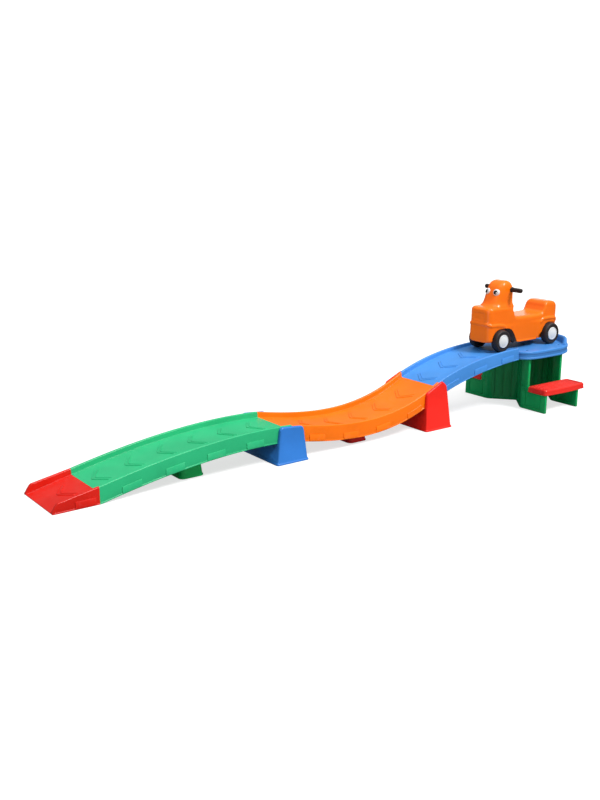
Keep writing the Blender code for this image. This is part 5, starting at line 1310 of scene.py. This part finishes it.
def build_eye(ending, side):
    """A plain pale dome, and a round dark pupil that carries a small pale glint."""
    dome = [(EYE_RADIUS, 0.0004), (EYE_RADIUS, 0.0052)]
    dome += [(0.0181 * c + 0.0002, 0.0054 + 0.0064 * s) for c, s in turns(0, 12, 25, 40, 55, 70, 82)]
    glint_shift = (PUPIL_SHIFT[0] + side * GLINT_SHIFT[0], PUPIL_SHIFT[1] - GLINT_SHIFT[1])
    for name, profile, segments, shift, finish, replaced, sharp in (
            ("eye_dome_", dome, 64, (0.0, 0.0), "eye_white", ("eye_" + ending,), 50),
            ("pupil_dome_", PUPIL_PROFILE, 48, PUPIL_SHIFT, "pupil_black", ("pupil_" + ending,), 50),
            ("pupil_glint_", GLINT_PROFILE, 24, glint_shift, "eye_white", (), 35)):
        make_piece(name + ending, lofted(eye_rings(side, profile, segments, shift)), finish, CAR, replaced,
                   sharp=sharp)


def build_grip(ending, side):
    """A soft grip with a flange, finger ribs and a rounded end."""
    start, end, r = GRIP_START, GRIP_END, GRIP_RADIUS
    profile = [(BAR_BORE, start)]
    profile += [(r + rise, start + along) for rise, along in (
        (0.0022, 0.0), (0.0028, 0.0008), (0.0028, 0.0030), (0.0020, 0.0040), (0.0, 0.0052))]
    low, high = start + 0.009, end - 0.012
    pitch = (high - low) / GRIP_RIBS
    for k in range(GRIP_RIBS):
        y = low + (high - low) * k / GRIP_RIBS
        profile += [(r + rise, y + share * pitch)
                    for rise, share in ((-0.0004, 0.0), (-0.0004, 0.22), (0.0004, 0.42), (0.0004, 0.80))]
    profile += [(r, high), (r, end - GRIP_ROUND)]
    profile += [(r * c, end - GRIP_ROUND + GRIP_ROUND * s) for c, s in turns(20, 40, 60, 80)]
    profile += [(0.0010, end)]
    form = bmesh.new()
    add_turned(form, [(radius, side * y) for radius, y in profile], 48)
    make_piece("grip_sleeve_" + ending, form, "grip_black", CAR, ("grip_" + ending,),
               (from_lip(BAR_AT), 0.0, BAR_HEIGHT), 50)


def dress_small_parts():
    """The small parts keep their made shapes and get their own materials."""
    dressed = {"front_axle": "rod_steel", "rear_axle": "rod_steel", "handlebar": "rod_steel"}
    # the platform screws are dark so that their holes read as shaded: partly painted shade
    dressed.update({f"platform_screw_{number}": "screw_black_hole_shade" for number in range(1, 5)})
    for place in ("front_near", "front_far", "rear_near", "rear_far"):
        dressed.update({"push_nut_" + place: "screw_steel", "spacer_" + place: "arch_black"})
    for name, finish in dressed.items():
        nodes[name].data.materials.clear()
        nodes[name].data.materials.append(MATERIALS[finish])


# Setting: camera, lights, sky and floor

PHOTO_HEIGHT = 800      # pixels, the measure of the two values below
FOCAL_PIXELS, SHIFT_PIXELS = 982.2559, (14.1037, 0.6995)
CAMERA_PLACE, CAMERA_YAW, CAMERA_PITCH = (-2.99599, -3.68706, 1.44687), 0.6244, 0.2578
FILM_WIDTH = 36.0
SUN_FROM, SUN_STRENGTH, SUN_SPREAD = (0.20, -0.56, 0.80), 2.8, math.radians(15)
SOFT_LIGHTS = (  # name, size, power, place, aim, whether it lights the car's shell alone
    ("overhead_softbox", (3.4, 1.6), 26.0, (0.5, -0.3, 3.4), (0.5, -0.3, 0.0), False),
    ("rear_panel", (1.5, 1.1), 6.0, (3.45, 1.84, 1.30), (1.35, 0.0, 0.50), True),
    ("front_fill", (1.4, 1.2), 8.0, (-0.85, -0.75, 0.80), (0.96, 0.0, 0.48), True))
SKY_TOP, SKY_HORIZON = 0.78, 0.36
MIRRORED_DIMMING = 0.55     # how much dimmer the sky is in a reflection
FLOOR_RADIUS = 40.0
WHITE = (1.0, 1.0, 1.0)


def place_camera():
    """A standing adult's view from in front of the ramp's near side, down the length of the track."""
    yaw, pitch = CAMERA_YAW, CAMERA_PITCH
    forward = Vector((math.sin(yaw) * math.cos(pitch), math.cos(yaw) * math.cos(pitch), -math.sin(pitch)))
    right = Vector((math.cos(yaw), -math.sin(yaw), 0.0))
    up = right.cross(forward)
    lens = bpy.data.cameras.new("view")
    lens.sensor_fit = "AUTO"
    lens.sensor_width = FILM_WIDTH
    lens.lens = FOCAL_PIXELS / PHOTO_HEIGHT * FILM_WIDTH
    lens.shift_x = SHIFT_PIXELS[0] / PHOTO_HEIGHT
    lens.shift_y = SHIFT_PIXELS[1] / PHOTO_HEIGHT
    lens.clip_end = 60.0
    camera = bpy.data.objects.new("view", lens)
    camera.matrix_world = (Matrix.Translation(Vector(CAMERA_PLACE))
                           @ Matrix((right, up, -forward)).transposed().to_4x4())
    bpy.context.scene.collection.objects.link(camera)
    bpy.context.scene.camera = camera


def place_light(name, kind, energy, direction, place=(0.0, 0.0, 0.0)):
    """A lamp that shines from a direction."""
    lamp = bpy.data.lights.new(name, kind)
    lamp.energy = energy
    made = bpy.data.objects.new(name, lamp)
    made.location = place
    made.rotation_euler = Vector(direction).to_track_quat("Z", "Y").to_euler()
    bpy.context.scene.collection.objects.link(made)
    return made


def build_lights():
    """A soft sun, a softbox overhead, and two that give the car's shell its lit front and highlights."""
    place_light("sun", "SUN", SUN_STRENGTH, SUN_FROM).data.angle = SUN_SPREAD
    for name, size, power, place, aim, shell_alone in SOFT_LIGHTS:
        softbox = place_light(name, "AREA", power, Vector(place) - Vector(aim), place)
        softbox.data.shape = "RECTANGLE"
        softbox.data.size, softbox.data.size_y = size
        softbox.visible_camera = False
        if shell_alone:
            reached = bpy.data.collections.new("lit_by_" + name)
            reached.objects.link(bpy.data.objects["car_shell"])
            softbox.light_linking.receiver_collection = reached


def ray_kinds(tree):
    """Whether a camera ray and whether a mirrored ray sees the surface."""
    path = tree.nodes.new("ShaderNodeLightPath").outputs
    return path["Is Camera Ray"], path["Is Glossy Ray"]


def build_sky():
    """A white sky to the camera, and one that is brighter overhead to the object."""
    world = bpy.data.worlds.new("studio")
    bpy.context.scene.world = world
    world.use_nodes = True
    tree = world.node_tree
    sky = tree.nodes["Background"]
    feed(tree, sky.inputs["Color"], WHITE)
    up = upward_part(tree, tree.nodes.new("ShaderNodeTexCoord").outputs["Generated"])
    lit = total(tree, product(tree, ramp_between(tree, up, 0.0, 0.9), SKY_TOP - SKY_HORIZON), SKY_HORIZON)
    seen, in_mirror = ray_kinds(tree)
    unseen = arithmetic(tree, "SUBTRACT", 1.0, seen, product(tree, in_mirror, MIRRORED_DIMMING))
    strength = total(tree, product(tree, lit, unseen), product(tree, seen, 1.2))
    tree.links.new(strength, sky.inputs["Strength"])


def floor_finish():
    """Near white to the camera, with the object's shadow kept, and a calm grey to other rays."""
    material, tree, shader = new_material("studio_floor")
    seen, in_mirror = ray_kinds(tree)
    pale = mix_colours(tree, noise(tree, 3.0, 3.0, 0.5), (0.90, 0.90, 0.90), (0.94, 0.94, 0.94))
    unseen = mix_colours(tree, in_mirror, (0.32, 0.32, 0.32), (0.08, 0.08, 0.08))
    tree.links.new(mix_colours(tree, seen, unseen, pale), shader.inputs["Base Color"])
    shader.inputs["Roughness"].default_value = 0.95
    shader.inputs["Specular IOR Level"].default_value = 0.0
    glow = add(tree, "ShaderNodeEmission", Color=WHITE, Strength=1.25)
    mix = tree.nodes.new("ShaderNodeMixShader")
    for place, given in enumerate((product(tree, seen, 0.55), shader.outputs[0], glow.outputs[0])):
        tree.links.new(given, mix.inputs[place])
    tree.links.new(mix.outputs[0], tree.nodes["Material Output"].inputs["Surface"])
    return material


def build_floor():
    """A round floor just under the object."""
    form = bmesh.new()
    form.faces.new([form.verts.new((FLOOR_RADIUS * c, FLOOR_RADIUS * s, 0.0)) for c, s in circle(64)])
    floor = make_object("studio_floor", form)
    floor.data.materials.append(floor_finish())
    floor.location = (0.0, 0.0, cad_box[0][2] - 0.0002)


def build_supports():
    """The trestles and feet under the track, and the panels and steps under the platform."""
    for sizes in TRESTLES:
        build_trestle(*sizes)
    for sizes in FEET:
        build_foot(*sizes)
    build_support_panel("front_support_panel", FRONT_PANEL_AT)
    build_support_panel("rear_support_panel", REAR_PANEL_AT)
    for ending, side in SIDES:
        build_step(ending + "_step", side)


def build_car():
    """The ride-on car: its shell, arch liners that partly paint the arches' shade, four wheels, two eyes and
    two grips.
    """
    build_car_body()
    build_arch_shade_liners()
    for axle, at in (("front", FRONT_AXLE_AT), ("rear", REAR_AXLE_AT)):
        for ending, side in SIDES:
            build_wheel(axle + "_" + ending, at, side)
    for build in (build_eye, build_grip):
        for ending, side in SIDES:
            build(ending, side)


for section in SECTIONS:
    build_section(*section)
build_platform()
build_supports()
build_car()
dress_small_parts()
bpy.context.scene.view_settings.view_transform = "Standard"
place_camera()
build_lights()
build_sky()
build_floor()
